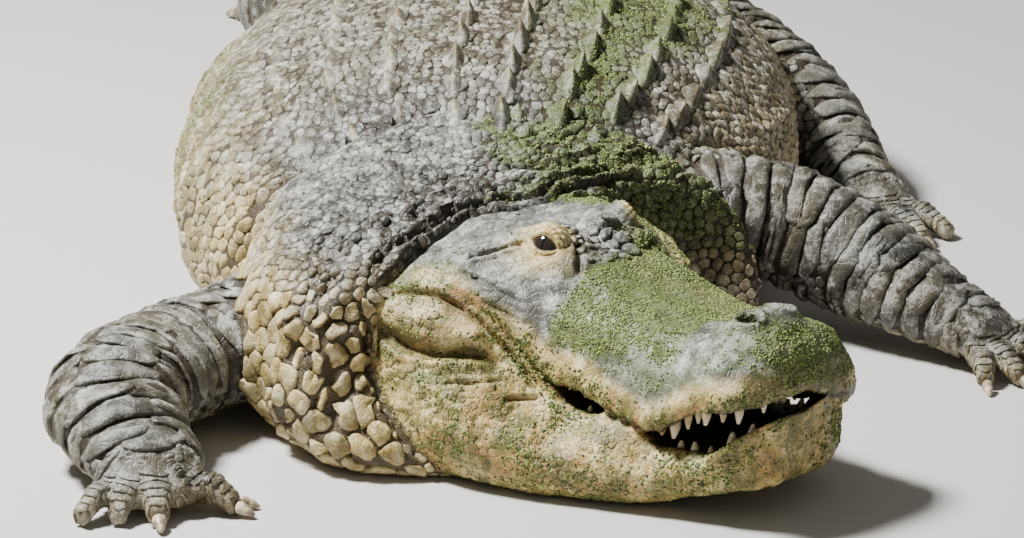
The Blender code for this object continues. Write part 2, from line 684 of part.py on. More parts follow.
def main():
    for old in list(bpy.data.objects):
        bpy.data.objects.remove(old)
    hide = material("hide", (0.20, 0.20, 0.17), 0.75)
    horn = material("claw_horn", (0.62, 0.56, 0.44), 0.45)
    tooth = material("tooth_ivory", (0.72, 0.66, 0.50), 0.40)
    eye_finish = material("eye", (0.05, 0.045, 0.03), 0.12)
    neck, trunk, tail_base = make_body(hide)
    skull, jaw = make_head(hide, eye_finish)
    cut_away(neck, skull, jaw, trunk)
    make_teeth(tooth)
    make_limbs(hide, horn, trunk, neck, tail_base)


main()
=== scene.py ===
import math
import random
import time

import bmesh
import bpy
import numpy as np
from mathutils import Matrix, Vector, kdtree
from mathutils.bvhtree import BVHTree


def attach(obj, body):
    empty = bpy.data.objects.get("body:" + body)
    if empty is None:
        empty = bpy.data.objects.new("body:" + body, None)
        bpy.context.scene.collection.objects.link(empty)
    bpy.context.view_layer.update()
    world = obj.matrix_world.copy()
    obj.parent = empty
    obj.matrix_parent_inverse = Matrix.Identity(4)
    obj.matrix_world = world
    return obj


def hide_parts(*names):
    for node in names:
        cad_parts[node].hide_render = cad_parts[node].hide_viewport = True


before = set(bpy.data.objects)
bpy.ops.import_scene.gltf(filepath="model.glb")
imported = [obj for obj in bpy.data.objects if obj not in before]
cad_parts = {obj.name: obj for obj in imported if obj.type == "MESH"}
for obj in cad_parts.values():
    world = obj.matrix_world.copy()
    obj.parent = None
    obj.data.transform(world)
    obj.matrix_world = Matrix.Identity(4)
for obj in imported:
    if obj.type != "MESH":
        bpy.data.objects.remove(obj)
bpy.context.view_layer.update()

started = time.time()


def stage(words):
    print(f"[{time.time() - started:6.1f} s] {words}", flush=True)


# The alligator's own measures, in metres.
gator = {
    "headLength": 0.54,
    "headTurn": math.radians(45),
    "eyeBack": 0.667,  # share of the head's length behind the snout tip
    "eyesMiddle": (0.12, -0.87),
    "eyeRadius": 0.021,
    "eyeSide": 0.062,
    "eyeHeight": 0.262,
    "backLean": 0.035,
    "lipSag": 0.014,  # the left front of the mouth is nearly shut
    "rimLift": 0.009,
    "bellyFlat": 0.030,
}
ahead = Vector((math.sin(gator["headTurn"]), -math.cos(gator["headTurn"]), 0.0))
leftwards = Vector((math.cos(gator["headTurn"]), math.sin(gator["headTurn"]), 0.0))

backbone = [
    (-0.60, -0.045), (-0.42, -0.042), (-0.2, -0.015), (0.0, 0.0), (0.6, 0.0), (1.1, 0.07), (1.6, 0.22),
    (2.0, 0.33), (2.42, 0.35),
]
girth = [
    (-0.575, 0.19), (-0.56, 0.25), (-0.525, 0.30), (-0.47, 0.335), (-0.40, 0.365), (-0.3, 0.395),
    (-0.1, 0.426), (0.1, 0.424), (0.25, 0.388), (0.4, 0.315), (0.55, 0.228), (0.7, 0.178), (1.0, 0.128),
    (1.3, 0.092), (1.6, 0.064), (1.9, 0.043), (2.15, 0.027), (2.42, 0.008),
]
backHeight = [
    (-0.575, 0.220), (-0.56, 0.275), (-0.525, 0.315), (-0.47, 0.336), (-0.40, 0.348), (-0.3, 0.362),
    (-0.15, 0.374), (0.0, 0.368), (0.15, 0.354), (0.3, 0.338), (0.45, 0.318), (0.6, 0.298), (0.7, 0.282),
    (1.0, 0.236), (1.3, 0.196), (1.6, 0.160), (1.9, 0.122), (2.15, 0.085), (2.42, 0.022),
]
widestHeight = [
    (-0.575, 0.10), (-0.5, 0.105), (0.0, 0.11), (0.4, 0.12), (0.7, 0.125), (1.3, 0.085), (2.42, 0.01),
]
crestHeight = [
    (0.6, 0.0), (0.72, 0.012), (1.0, 0.034), (1.35, 0.050), (1.6, 0.060), (2.1, 0.045), (2.42, 0.012),
]
crestSpread = [(0.6, 0.085), (1.0, 0.062), (1.3, 0.030), (1.42, 0.004), (2.42, 0.003)]
keelAngles = (5.5, 19.0, 32.0, 45.0)  # keel rows on each side of the back's midline, in degrees
lipHeight = [
    (0.0, 0.151), (0.05, 0.148), (0.10, 0.142), (0.16, 0.128), (0.22, 0.107), (0.27, 0.098), (0.33, 0.102),
    (0.38, 0.107), (0.43, 0.120), (0.48, 0.126), (0.53, 0.122), (0.57, 0.136), (0.62, 0.162), (0.72, 0.203),
    (0.79, 0.220), (0.86, 0.216), (0.92, 0.205), (1.04, 0.190),
]
mouthOpening = [
    (0.0, 0.024), (0.035, 0.036), (0.07, 0.049), (0.1, 0.055), (0.16, 0.045), (0.22, 0.026), (0.27, 0.016),
    (0.31, 0.0), (0.37, 0.0),
    (0.41, 0.014), (0.45, 0.029), (0.49, 0.025), (0.53, 0.0), (1.04, 0.0),
]
snoutHalfWidth = [
    (0.0, 0.048), (0.012, 0.078), (0.035, 0.101), (0.065, 0.112), (0.10, 0.117), (0.16, 0.117), (0.21, 0.113),
    (0.30, 0.123), (0.42, 0.124), (0.55, 0.132),
]
jawRimHalfWidth = [
    (0.0, 0.033), (0.012, 0.060), (0.035, 0.083), (0.065, 0.094), (0.10, 0.100), (0.16, 0.104),
    (0.27, 0.114), (0.42, 0.124), (0.55, 0.138),
]
limbs = {
    "rightArm": [
        ((-0.13, -0.56, 0.105), 0.090, 0.090), ((-0.24, -0.665, 0.090), 0.090, 0.083),
        ((-0.325, -0.752, 0.080), 0.090, 0.076), ((-0.395, -0.828, 0.079), 0.092, 0.076),
        ((-0.442, -0.900, 0.078), 0.094, 0.076), ((-0.447, -0.967, 0.073), 0.092, 0.069),
        ((-0.424, -1.030, 0.060), 0.080, 0.055), ((-0.398, -1.078, 0.048), 0.070, 0.042),
    ],
    "leftArm": [
        ((0.10, -0.46, 0.155), 0.085, 0.085), ((0.22, -0.452, 0.157), 0.086, 0.086),
        ((0.310, -0.442, 0.154), 0.085, 0.085), ((0.388, -0.442, 0.138), 0.084, 0.084),
        ((0.450, -0.465, 0.114), 0.082, 0.082), ((0.510, -0.503, 0.091), 0.081, 0.074),
        ((0.566, -0.545, 0.068), 0.070, 0.056), ((0.612, -0.577, 0.050), 0.064, 0.042),
    ],
    "leftLeg": [
        ((0.08, 0.47, 0.150), 0.100, 0.100), ((0.19, 0.42, 0.158), 0.110, 0.110),
        ((0.285, 0.345, 0.155), 0.106, 0.108), ((0.362, 0.260, 0.140), 0.096, 0.100),
        ((0.424, 0.180, 0.120), 0.087, 0.090), ((0.468, 0.110, 0.095), 0.077, 0.074),
        ((0.500, 0.050, 0.070), 0.063, 0.056), ((0.523, 0.002, 0.050), 0.056, 0.042),
    ],
    "rightLeg": [
        ((-0.09, 0.47, 0.150), 0.100, 0.100), ((-0.185, 0.515, 0.154), 0.105, 0.108),
        ((-0.252, 0.580, 0.148), 0.101, 0.104), ((-0.290, 0.655, 0.132), 0.094, 0.096),
        ((-0.310, 0.740, 0.112), 0.086, 0.088), ((-0.315, 0.820, 0.088), 0.076, 0.073),
        ((-0.310, 0.890, 0.067), 0.063, 0.056), ((-0.302, 0.945, 0.050), 0.056, 0.042),
    ],
}
# Each foot: heading in degrees, palm length, palm half width, and its digits (fan, length, radius).
feet = {
    "rightArm": (6, 0.050, 0.064, ((80, 0.046, 0.017), (58, 0.058, 0.020), (4, 0.062, 0.021),
                                   (-20, 0.058, 0.018), (-42, 0.066, 0.018))),
    "leftArm": (60, 0.060, 0.060, ((-55, 0.062, 0.017), (-28, 0.080, 0.019), (0, 0.085, 0.020),
                                   (26, 0.076, 0.018), (52, 0.064, 0.017))),
    "leftLeg": (20, 0.070, 0.060, ((-34, 0.080, 0.020), (-12, 0.096, 0.021), (10, 0.100, 0.021),
                                   (32, 0.090, 0.019))),
    "rightLeg": (-165, 0.085, 0.062, ((34, 0.080, 0.020), (12, 0.096, 0.021), (-10, 0.100, 0.021),
                                      (-32, 0.090, 0.019))),
}
regionOf = {
    "head": 0, "lower_jaw": 1, "neck": 2, "trunk": 3, "tail_base": 4, "tail_middle": 4, "tail_tip": 4,
    "upper_arm_right": 5, "forearm_right": 5, "hand_right": 6, "upper_arm_left": 5, "forearm_left": 5,
    "hand_left": 6, "thigh_left": 5, "shank_left": 5, "foot_left": 6, "thigh_right": 5, "shank_right": 5,
    "foot_right": 6,
}
head, jaw, neck, trunk, tail, limb, foot = range(7)
flesh = list(regionOf)


def at(stations, place):
    return np.interp(place, [s[0] for s in stations], [s[1] for s in stations])


def ease(low, high, value):
    share = np.clip((value - low) / (high - low), 0.0, 1.0)
    return share * share * (3 - 2 * share)


def bump(value, width):
    return np.exp(-((value / width) ** 2))


def noise(points, size, seed=0):
    grid = points / size + 100.0
    cell = np.floor(grid).astype(np.int64)
    share = grid - cell
    share = share * share * (3 - 2 * share)
    total = np.zeros(len(points))
    for corner in range(8):
        step = np.array([corner & 1, corner >> 1 & 1, corner >> 2])
        key = (cell + step) @ np.array([73856093, 19349663, 83492791]) + seed * 7919
        key = (key ^ (key >> 13)) * 1274126177 & 0x7FFFFFFF
        key = (key ^ (key >> 11)) * 668265263 & 0x7FFFFFFF
        weight = np.prod(np.where(step, share, 1 - share), axis=1)
        total += weight * ((key >> 8 & 0xFFFF) / 32767.5 - 1)
    return total


def ridges(points, size, seed=0):
    return 1 - 2 * np.abs(noise(points, size, seed))


def running(steps):  # the total so far, from nought
    return np.concatenate([[0], np.cumsum(steps)])


def unit(vectors):
    return vectors / np.maximum(np.linalg.norm(vectors, axis=-1, keepdims=True), 1e-9)


def headPlace(points):  # (back, side, height) of world points
    offset = points[:, :2] - np.array(gator["eyesMiddle"])
    forward = offset @ np.array(ahead.xy)
    return gator["eyeBack"] - forward / gator["headLength"], offset @ np.array(leftwards.xy), points[:, 2]


def headPoint(back, side, height):
    plan = Vector((*gator["eyesMiddle"], height)) + ahead * (gator["eyeBack"] - back) * gator["headLength"]
    return plan + leftwards * side


# The skin.

def leftSag(back, side):
    return ease(0.24, 0.12, back) * ease(-0.02, 0.07, side)


def lipAt(back, side):
    return at(lipHeight, back) - gator["lipSag"] * leftSag(back, side)


def openingAt(back, side):
    return at(mouthOpening, back) - (gator["lipSag"] + gator["rimLift"]) * leftSag(back, side)


skinWork = {
    "voxel": 0.0036,
    "bodyVoxel": 0.013,
    "bodyRounds": 26,
    "headRounds": 8,
    "triangles": 196000,
    "quickVoxel": 0.007,
    "coatDepth": 0.0035,  # how far the skin sinks under its scales
    "headDepth": 0.0008,
    "footDepth": 0.0012,
    "crestHold": 0.7,  # how much of the smoothing the tail's crest is spared
    "detail": {head: 1.0, jaw: 1.0, foot: 0.55, limb: 0.3, neck: 0.3},  # what the thinning spares most
    "detailFactor": 1.6,
}


def numbers(layer, key, width=3):
    values = np.empty(len(layer) * width, np.float32 if width != 2 else np.int32)
    layer.foreach_get(key, values)
    return values.reshape(-1, width) if width > 1 else values


def addObject(name, mesh):
    made = bpy.data.objects.new(name, mesh)
    bpy.context.scene.collection.objects.link(made)
    return made


def addPiece(name, mesh, slot, *replaced):
    piece = addObject(name, mesh)
    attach(piece, "root")
    if replaced:
        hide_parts(*replaced)
    return piece


def meshOf(shape, name, finish=None):  # the finished mesh of a bmesh shape
    mesh = bpy.data.meshes.new(name)
    shape.to_mesh(mesh)
    shape.free()
    if finish:
        mesh.shade_smooth()
        mesh.materials.clear()
        mesh.materials.append(finish)
    return mesh


def looseMesh(name, points, index, sizes):
    mesh = bpy.data.meshes.new(name)
    mesh.vertices.add(len(points))
    mesh.vertices.foreach_set("co", points.astype(np.float32).ravel())
    mesh.loops.add(len(index))
    mesh.loops.foreach_set("vertex_index", index.astype(np.int32))
    mesh.polygons.add(len(sizes))
    mesh.polygons.foreach_set("loop_start", running(sizes[:-1]).astype(np.int32))
    mesh.update(calc_edges=True)
    return mesh


def applied(piece):
    graph = bpy.context.evaluated_depsgraph_get()
    graph.update()
    mesh = bpy.data.meshes.new_from_object(piece.evaluated_get(graph))
    piece.modifiers.clear()
    piece.data = mesh
    return piece


def joinedFlesh(name):
    shape = bmesh.new()
    for node in flesh:
        shape.from_mesh(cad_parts[node].data)
    bmesh.ops.remove_doubles(shape, verts=shape.verts, dist=1e-6)
    return addObject(name, meshOf(shape, name))


def remeshed(name, voxel):
    piece = joinedFlesh(name)
    remesh = piece.modifiers.new("remesh", "REMESH")
    remesh.mode = "VOXEL"
    remesh.voxel_size = voxel
    return applied(piece)


def triangleCorners(mesh):
    mesh.calc_loop_triangles()
    corners = np.empty(len(mesh.loop_triangles) * 3, np.int32)
    mesh.loop_triangles.foreach_get("vertices", corners)
    return corners.reshape(-1, 3)


def treeOf(mesh, points):
    return BVHTree.FromPolygons(points.tolist(), triangleCorners(mesh).tolist())


def relaxed(points, edges, rounds, weight):
    first, second = edges[:, 0], edges[:, 1]
    count = len(points)
    around = np.bincount(first, minlength=count) + np.bincount(second, minlength=count)
    for turn in range(rounds * 2):
        share = 0.5 if turn % 2 == 0 else -0.53
        if points.ndim == 1:
            mean = np.bincount(first, points[second], count) + np.bincount(second, points[first], count)
            points = points + weight * abs(share) * (mean / around - points)
            continue
        mean = np.stack([
            np.bincount(first, points[second, k], count) + np.bincount(second, points[first, k], count)
            for k in range(3)
        ], axis=1)
        points = points + (weight * share)[:, None] * (mean / around[:, None] - points)
    return points


def vertexNormals(points, triangles):
    a, b, c = (points[triangles[:, k]] for k in range(3))
    faces = np.cross(b - a, c - a)
    total = np.zeros_like(points)
    for k in range(3):
        for axis in range(3):
            total[:, axis] += np.bincount(triangles[:, k], faces[:, axis], len(points))
    return unit(total)


def nearestRegion(points, tree, owners):
    found = np.empty(len(points), np.int32)
    for i, point in enumerate(points.tolist()):
        found[i] = tree.find_nearest(point)[2]
    return owners[found]


def fleshTree():
    points, faces, owners = [], [], []
    for node in flesh:
        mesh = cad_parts[node].data
        start = len(points)
        points += [v.co.to_tuple() for v in mesh.vertices]
        mesh.calc_loop_triangles()
        for triangle in mesh.loop_triangles:
            faces.append([start + i for i in triangle.vertices])
            owners.append(regionOf[node])
    return BVHTree.FromPolygons(points, faces), np.array(owners)


def alongPath(points, path, lead=0.0, trail=1.0):  # each point: how far along the path, how far off it
    lengths = running(np.linalg.norm(np.diff(path, axis=0), axis=1))
    nearest = np.full(len(points), 9.0)
    place = np.zeros(len(points))
    for i in range(len(path) - 1):
        step = path[i + 1] - path[i]
        low = lead if i == 0 else 0.0
        high = trail if i == len(path) - 2 else 1.0
        along = np.clip((points - path[i]) @ step / (step @ step), low, high)
        gap = np.linalg.norm(points - path[i] - along[:, None] * step, axis=1)
        closer = gap < nearest
        nearest = np.where(closer, gap, nearest)
        place = np.where(closer, lengths[i] + along * (lengths[i + 1] - lengths[i]), place)
    return place, nearest, lengths[-1]


def groove(points, path, depth, width, rim=0.35):  # how far a crease moves each point outwards
    path = np.array(path)
    reach = 4.2 * width
    inside = (points > path.min(axis=0) - reach) & (points < path.max(axis=0) + reach)
    close = np.nonzero(np.all(inside, axis=1))[0]
    place, nearest, length = alongPath(points[close], path)
    share = place / length
    taper = ease(0.0, 0.12, share) * ease(1.0, 0.88, share)
    move = np.zeros(len(points))
    move[close] = taper * (rim * depth * bump(nearest - 1.9 * width, width) - depth * bump(nearest, width))
    return move


limbEnds = (-0.3, 1.4)  # how far the first and last stretch of a limb reach past its ends
bandStyle = {"first": 0.02, "narrow": 0.024, "wide": 0.034, "height": 0.0065, "sink": 0.0055}
bandEdges = {}  # where the folds lie along each limb, from its root
for number, key in enumerate(limbs):
    random.seed(number)
    centres = [Vector(ring[0]) for ring in limbs[key]]
    length = sum((b - a).length for a, b in zip(centres, centres[1:]))
    edges = [bandStyle["first"]]
    while edges[-1] < length + 0.01:
        edges.append(edges[-1] + random.uniform(bandStyle["narrow"], bandStyle["wide"]))
    bandEdges[key] = np.array(edges)


def bandShare(place, edges):  # 0 to 1 across the band that a place along the limb is in
    i = np.clip(np.searchsorted(edges, place) - 1, 0, len(edges) - 2)
    return np.clip((place - edges[i]) / (edges[i + 1] - edges[i]), 0, 1)


def headPath(*places):
    return [tuple(headPoint(*place)) for place in places]


def onSkin(path, tree, between=6):
    path = [Vector(p) for p in path]
    dense = []
    for a, b in zip(path, path[1:]):
        dense += [a.lerp(b, k / between) for k in range(between)]
    dense.append(path[-1])
    return [tuple(tree.find_nearest(p)[0]) for p in dense]


def nostrils():
    return [headPoint(0.124, side, 0.235) for side in (-0.027, 0.027)]


# Landmarks of the folds: share of the head's length back, then metres to the side and up.
faceFolds = {
    "mouthCorner": (0.53, 0.145, 0.115), "cheekTop": (0.73, 0.175, 0.205), "headBack": (0.92, 0.205, 0.20),
    "cheekBack": (0.91, 0.22, 0.17), "cheekUnder": (0.78, 0.22, 0.155), "cheekFront": (0.64, 0.17, 0.16),
    "jawTop": (0.93, 0.235, 0.18), "jawAngle": (0.85, 0.25, 0.09), "throat": (0.72, 0.24, 0.02),
    "earBack": (0.79, 0.14, 0.25), "earMiddle": (0.745, 0.105, 0.26), "earFront": (0.70, 0.085, 0.265),
    "browBack": (0.665, 0.02, 0.27), "browMiddle": (0.61, 0.045, 0.26), "browFront": (0.555, 0.07, 0.24),
    "napeBack": 0.925, "napeNotch": 0.07, "napeHeight": 0.27, "napeRight": -0.23, "napeLeft": 0.27,
}
foldCuts = (  # landmarks, depth, width, raised rim
    (("mouthCorner", "cheekTop", "headBack"), 0.0085, 0.0042, 0.45),
    (("cheekBack", "cheekUnder", "cheekFront"), 0.014, 0.0075, 0.30),
    (("jawTop", "jawAngle", "throat"), 0.010, 0.0055, 0.40),
    (("earBack", "earMiddle", "earFront"), 0.009, 0.0034, 0.60),
    (("browBack", "browMiddle", "browFront"), 0.0065, 0.0042, 0.50),
)
wrinkleCuts = (  # front, rear, depth: fine wrinkles over and under the cheek fold
    ((0.62, 0.12, 0.205), (0.78, 0.15, 0.235), 0.0035), ((0.60, 0.125, 0.185), (0.72, 0.15, 0.21), 0.003),
    ((0.535, 0.15, 0.11), (0.60, 0.18, 0.10), 0.004), ((0.60, 0.17, 0.125), (0.72, 0.21, 0.11), 0.003),
)
earFlap = ((0.75, 0.078, 0.266), (0.80, 0.100, 0.262), (0.88, 0.128, 0.254))
cheekSwelling = ((0.92, 0.212, 0.185), (0.82, 0.208, 0.188), (0.73, 0.190, 0.178), (0.66, 0.168, 0.165))
creases = []  # path, depth, width, rim: folds cut into the hide, with painted shade along them


def arc(start, middle, end, steps=6):  # a smooth curve through three places
    start, middle, end = Vector(start), Vector(middle), Vector(end)
    bend = middle * 2 - (start + end) / 2
    shares = [k / steps for k in range(steps + 1)]
    return [start * (1 - t) ** 2 + bend * 2 * t * (1 - t) + end * t * t for t in shares]


def napeFold(shift):  # round the back of the head, with a notch behind the skull table
    made = []
    for k in range(10):
        side = faceFolds["napeRight"] + (faceFolds["napeLeft"] - faceFolds["napeRight"]) * k / 9
        back = faceFolds["napeBack"] - faceFolds["napeNotch"] * bump(side - 0.03, 0.05)
        fall = (1.3 if side < 0 else 0.25) * side * side
        made.append((back + shift * (1 + 0.2 * math.sin(k * 2.1)), side, faceFolds["napeHeight"] - fall))
    return headPath(*made)


def mirrored(path, turn):  # a path of the head on its left, 1, or right, -1
    return [(back, side * turn, height) for back, side, height in path]


def setCreases(tree):
    for shift, depth, width in ((0.0, 0.0075, 0.0050), (0.042, 0.0065, 0.0048)):
        creases.append((onSkin(napeFold(shift), tree), depth, width, 0.55))
    for turn in (-1, 1):
        for names, depth, width, rim in foldCuts:
            path = mirrored(arc(*(faceFolds[name] for name in names)), turn)
            creases.append((onSkin(headPath(*path), tree), depth, width, rim))
        for front, rear, depth in wrinkleCuts:
            creases.append((onSkin(headPath(*mirrored((front, rear), turn)), tree), depth, 0.0030, 0.35))


def creaseShade(points):
    shade = np.zeros(len(points))
    for path, depth, width, _ in creases:
        cut = np.clip(-groove(points, path, 1.0, width * 1.05, 0.0), 0, 1)
        shade = np.maximum(shade, cut * min(1.0, depth / 0.006))
    return shade


relief = {  # how far each form stands out of the hide or is sunk in it
    "lipLine": 0.0075, "lipRoll": 0.0040, "jawRoll": 0.0030, "scallops": 0.0022, "snoutLumps": 0.0035,
    "snoutGrain": 0.0018, "nostrilMound": 0.006, "nostrilDepth": 0.022, "brow": 0.006, "earFlap": 0.0055,
    "cheek": 0.014, "flankFolds": 0.0075, "napeFolds": 0.0070,
}


def shapeHead(points, normals, region, tree):
    onHead = (region == head) | (region == jaw)
    p = points[onHead]
    n = normals[onHead]
    own = region[onHead]
    back, side, height = headPlace(p)
    lip = lipAt(back, side)
    opening = openingAt(back, side)
    outer = ease(0.25, 0.6, np.abs(n[:, 2]) * -1 + 1)  # where the hide looks sideways
    move = np.zeros(len(p))
    # The rolled lip over the mouth's line, and the jaw's rim under it.
    over = height - lip
    closed = ease(0.012, 0.004, opening)
    move -= relief["lipLine"] * bump(over + 0.001, 0.0042) * outer * closed
    move += relief["lipRoll"] * bump(over - 0.016, 0.013) * outer * (own == head)
    move += relief["jawRoll"] * bump(over + opening + 0.013, 0.010) * outer * (own == jaw)
    # Canine bulges and the scalloped edge of the lips.
    for place, size, reach in ((0.225, 0.013, 0.045), (0.055, 0.006, 0.03), (0.47, 0.006, 0.05)):
        move += size * bump(back - place, reach) * bump(over - 0.014, 0.022) * outer * (own == head)
    move += (relief["scallops"] * np.sin(back * 150) * bump(over - 0.004, 0.012) * outer * (own == head)
             * ease(0.6, 0.5, back))
    move += (relief["scallops"] * np.sin(back * 130 + 1) * bump(over + opening + 0.006, 0.010) * outer
             * (own == jaw) * ease(0.6, 0.5, back))
    # Bony lumps of the snout, brow ridges and skull table.
    top = (own == head) * ease(0.35, 0.75, n[:, 2])
    move += top * relief["snoutLumps"] * noise(p, 0.045, 3) + top * relief["snoutGrain"] * noise(p, 0.018, 4)
    knobs = bump(back - 0.62, 0.075) * bump(side - 0.005, 0.055)
    beads = noise(p, 0.013, 5)
    move += (own == head) * knobs * (0.006 * np.abs(beads) - 0.002 + 0.003 * noise(p, 0.03, 6))
    move -= 0.004 * top * bump(np.abs(side) - 0.035, 0.006) * bump(back - 0.60, 0.05)
    # Wrinkles below and behind the eye, and on the jaw.
    stretched = p * np.array([1.0, 1.0, 2.2])
    jowl = (own == jaw) * 1.0
    move += jowl * (0.0012 * ridges(stretched, 0.03, 7) + 0.0009 * noise(p, 0.010, 8))
    sideSkin = (own == head) * (1 - top)
    move += sideSkin * (0.0010 * noise(p, 0.012, 9) + 0.0014 * noise(p, 0.03, 10))
    # Nostril mound, with two deep holes.
    mound = ease(1.2, 0.45, np.hypot((back - 0.120) / 0.070, side / 0.056))
    move += (own == head) * ease(0.13, 0.20, height) * relief["nostrilMound"] * mound
    for hole in nostrils():
        gap = np.hypot((p[:, 0] - hole.x), (p[:, 1] - hole.y))
        isTop = (own == head) * ease(0.15, 0.20, height)
        move += (isTop * (0.0050 * bump(gap - 0.0155, 0.005)
                          - relief["nostrilDepth"] * ease(0.0130, 0.0065, gap)))
    for turn in (-1, 1):  # brow round each eye
        eye = headPoint(gator["eyeBack"], turn * (gator["eyeSide"] + 0.004), gator["eyeHeight"] + 0.004)
        gap = np.linalg.norm(p - np.array(eye), axis=1)
        move += (own == head) * relief["brow"] * bump(gap - 0.034, 0.014)
    moved = np.zeros(len(points))
    moved[onHead] = move
    for turn in (-1, 1):  # the flap over each ear and the swollen cheek over its fold
        flap = onSkin(headPath(*mirrored(earFlap, turn)), tree)
        moved -= onHead * groove(points, flap, relief["earFlap"], 0.014, 0.0)
        cheek = onSkin(headPath(*mirrored(cheekSwelling, turn)), tree)
        moved -= groove(points, cheek, relief["cheek"], 0.017, 0.0)
    for path, depth, width, rim in creases:
        moved += groove(points, path, depth, width, rim)
    return moved


def shapeBody(points, region):
    move = np.zeros(len(points))
    x, y, z = points.T
    body = (region == trunk) | (region == neck)
    # Long shallow folds across the flanks, closer together on the neck.
    flank = body * ease(0.30, 0.16, z) * ease(0.0, 0.03, z)
    stretched = np.stack([x * 0.35, y, z * 0.35], axis=1)
    move += flank * relief["flankFolds"] * ridges(stretched, 0.050, 21)
    move += body * (0.0026 * noise(points, 0.035, 22) + 0.0016 * noise(points, 0.014, 25))
    # Braided wrinkles on the nape and the fold behind the head.
    back, side, _ = headPlace(points)
    collar = (region == neck) * ease(0.22, 0.04, np.abs(back - 0.98))
    stretched = np.stack([back * 0.54 * 2.6, side * 0.8, z], axis=1)
    move += collar * (relief["napeFolds"] * ridges(stretched, 0.030, 23) + 0.0028 * noise(points, 0.012, 24))
    # Rounded bands round the limbs, parted by folds.
    onLimb = (region == limb)
    for key, path in limbs.items():
        place, gap, _ = alongPath(points, np.array([ring[0] for ring in path]), *limbEnds)
        near = onLimb * ease(0.15, 0.13, gap)
        share = bandShare(place, bandEdges[key])
        band = 1 - np.abs(2 * share - 1) ** 3
        move += near * (bandStyle["height"] * band - bandStyle["sink"]) * ease(0.0, 0.02, z)
        move += near * 0.002 * noise(points, 0.02, 25)
    feetSkin = (region == foot)
    move += feetSkin * 0.0012 * noise(points, 0.010, 26)
    return move


def makeSkin():
    tree, owners = fleshTree()
    smooth = remeshed("body_form", skinWork["bodyVoxel"])
    points = numbers(smooth.data.vertices, "co").astype(float)
    edges = numbers(smooth.data.edges, "vertices", 2)
    points = relaxed(points, edges, skinWork["bodyRounds"], np.ones(len(points)))
    bodyTree = treeOf(smooth.data, points)
    bpy.data.objects.remove(smooth)
    stage("body form smoothed")

    skin = remeshed("skin", skinWork["voxel"])
    points = numbers(skin.data.vertices, "co").astype(float)
    edges = numbers(skin.data.edges, "vertices", 2)
    region = nearestRegion(points, tree, owners)
    crest = (region == tail) * ease(-0.03, -0.01, points[:, 2] - at(backHeight, points[:, 1]))
    broad = np.isin(region, (neck, trunk, tail, limb)) * (1.0 - crest)
    broad = relaxed(broad.astype(float), edges, 6, 1.0)
    points = relaxed(points, edges, skinWork["headRounds"], 1.0 - skinWork["crestHold"] * crest)
    for i in np.nonzero(broad > 0.02)[0]:
        hit = bodyTree.find_nearest(points[i].tolist())[0]
        points[i] += broad[i] * (np.array(hit) - points[i])
    points = relaxed(points, edges, 3, 1.0 - skinWork["crestHold"] * crest)
    stage(f"skin of {len(points)} points")

    # The keels are plates of their own, so the back under them is plain.
    x, y, z = points.T
    widest, top = at(widestHeight, y), at(backHeight, y)
    up = np.clip((z - widest) / (top - widest), 0, 1.3)
    lean = gator["backLean"] * np.minimum(up, 1) * np.minimum(1.0, at(girth, y) / 0.3)
    across = (x - at(backbone, y) - lean) / at(girth, y)
    round_ = (np.abs(across) ** 2.05 + up**2.05) ** (1 / 2.05)
    plainBack = (region == trunk) * ease(0.3, 0.5, up) * ease(-0.56, -0.50, y)
    plainBack = relaxed(plainBack, edges, 10, 1.0)
    inwards = plainBack * (1 / np.maximum(round_, 0.5) - 1)
    points[:, 0] += inwards * across * at(girth, y)
    points[:, 2] += inwards * (z - widest)

    triangles = triangleCorners(skin.data)
    normals = vertexNormals(points, triangles)
    depth = np.where(region == foot, skinWork["footDepth"], skinWork["coatDepth"])
    depth = np.where(region <= jaw, skinWork["headDepth"], depth)
    plain = treeOf(skin.data, points)
    setCreases(plain)
    move = shapeHead(points, normals, region, plain) + shapeBody(points, region) - depth
    points += normals * move[:, None]
    back, side, height = headPlace(points)
    rim = lipAt(back, side) - openingAt(back, side)
    nearLip = (region == head) * ease(0.035, 0.005, height - lipAt(back, side))
    corner = ease(0.20, 0.13, back) * ease(0.02, 0.075, side)
    points[:, 2] -= nearLip * (0.006 * leftSag(back, side) + 0.015 * corner)
    points[:, 2] += ((0.012 + 0.004 * leftSag(back, side) + 0.024 * corner) * (region == jaw)
                     * ease(0.14, 0.06, back) * ease(rim - 0.055, rim - 0.02, height)
                     * ease(rim + 0.004, rim - 0.008, height))
    points[:, 2] = np.maximum(points[:, 2], 0.0004)
    skin.data.vertices.foreach_set("co", points.astype(np.float32).ravel())
    skin.data.update()

    group = skin.vertex_groups.new(name="fine")
    for part, level in skinWork["detail"].items():
        group.add(np.nonzero(region == part)[0].tolist(), level, "REPLACE")
    thin = skin.modifiers.new("thin", "DECIMATE")
    thin.ratio = skinWork["triangles"] / len(triangles)
    thin.vertex_group = "fine"
    thin.invert_vertex_group = True
    thin.vertex_group_factor = skinWork["detailFactor"]
    applied(skin)
    mesh = skin.data
    skin.vertex_groups.clear()
    mesh.shade_smooth()
    stage(f"skin thinned to {len(mesh.loop_triangles) or len(mesh.polygons)} faces")
    return skin, tree, owners


# Scales: one plate for each seed, its outline shared out between neighbours.

seeds = {key: [] for key in ("place", "normal", "lie", "along", "across", "kind", "chart", "region", "bend")}


def addSeed(kind, place, normal, lie, along, across, chart, region, bend=0.0):
    for key, value in zip(seeds, (place, normal, lie, along, across, kind, chart, region, bend)):
        seeds[key].append(value)


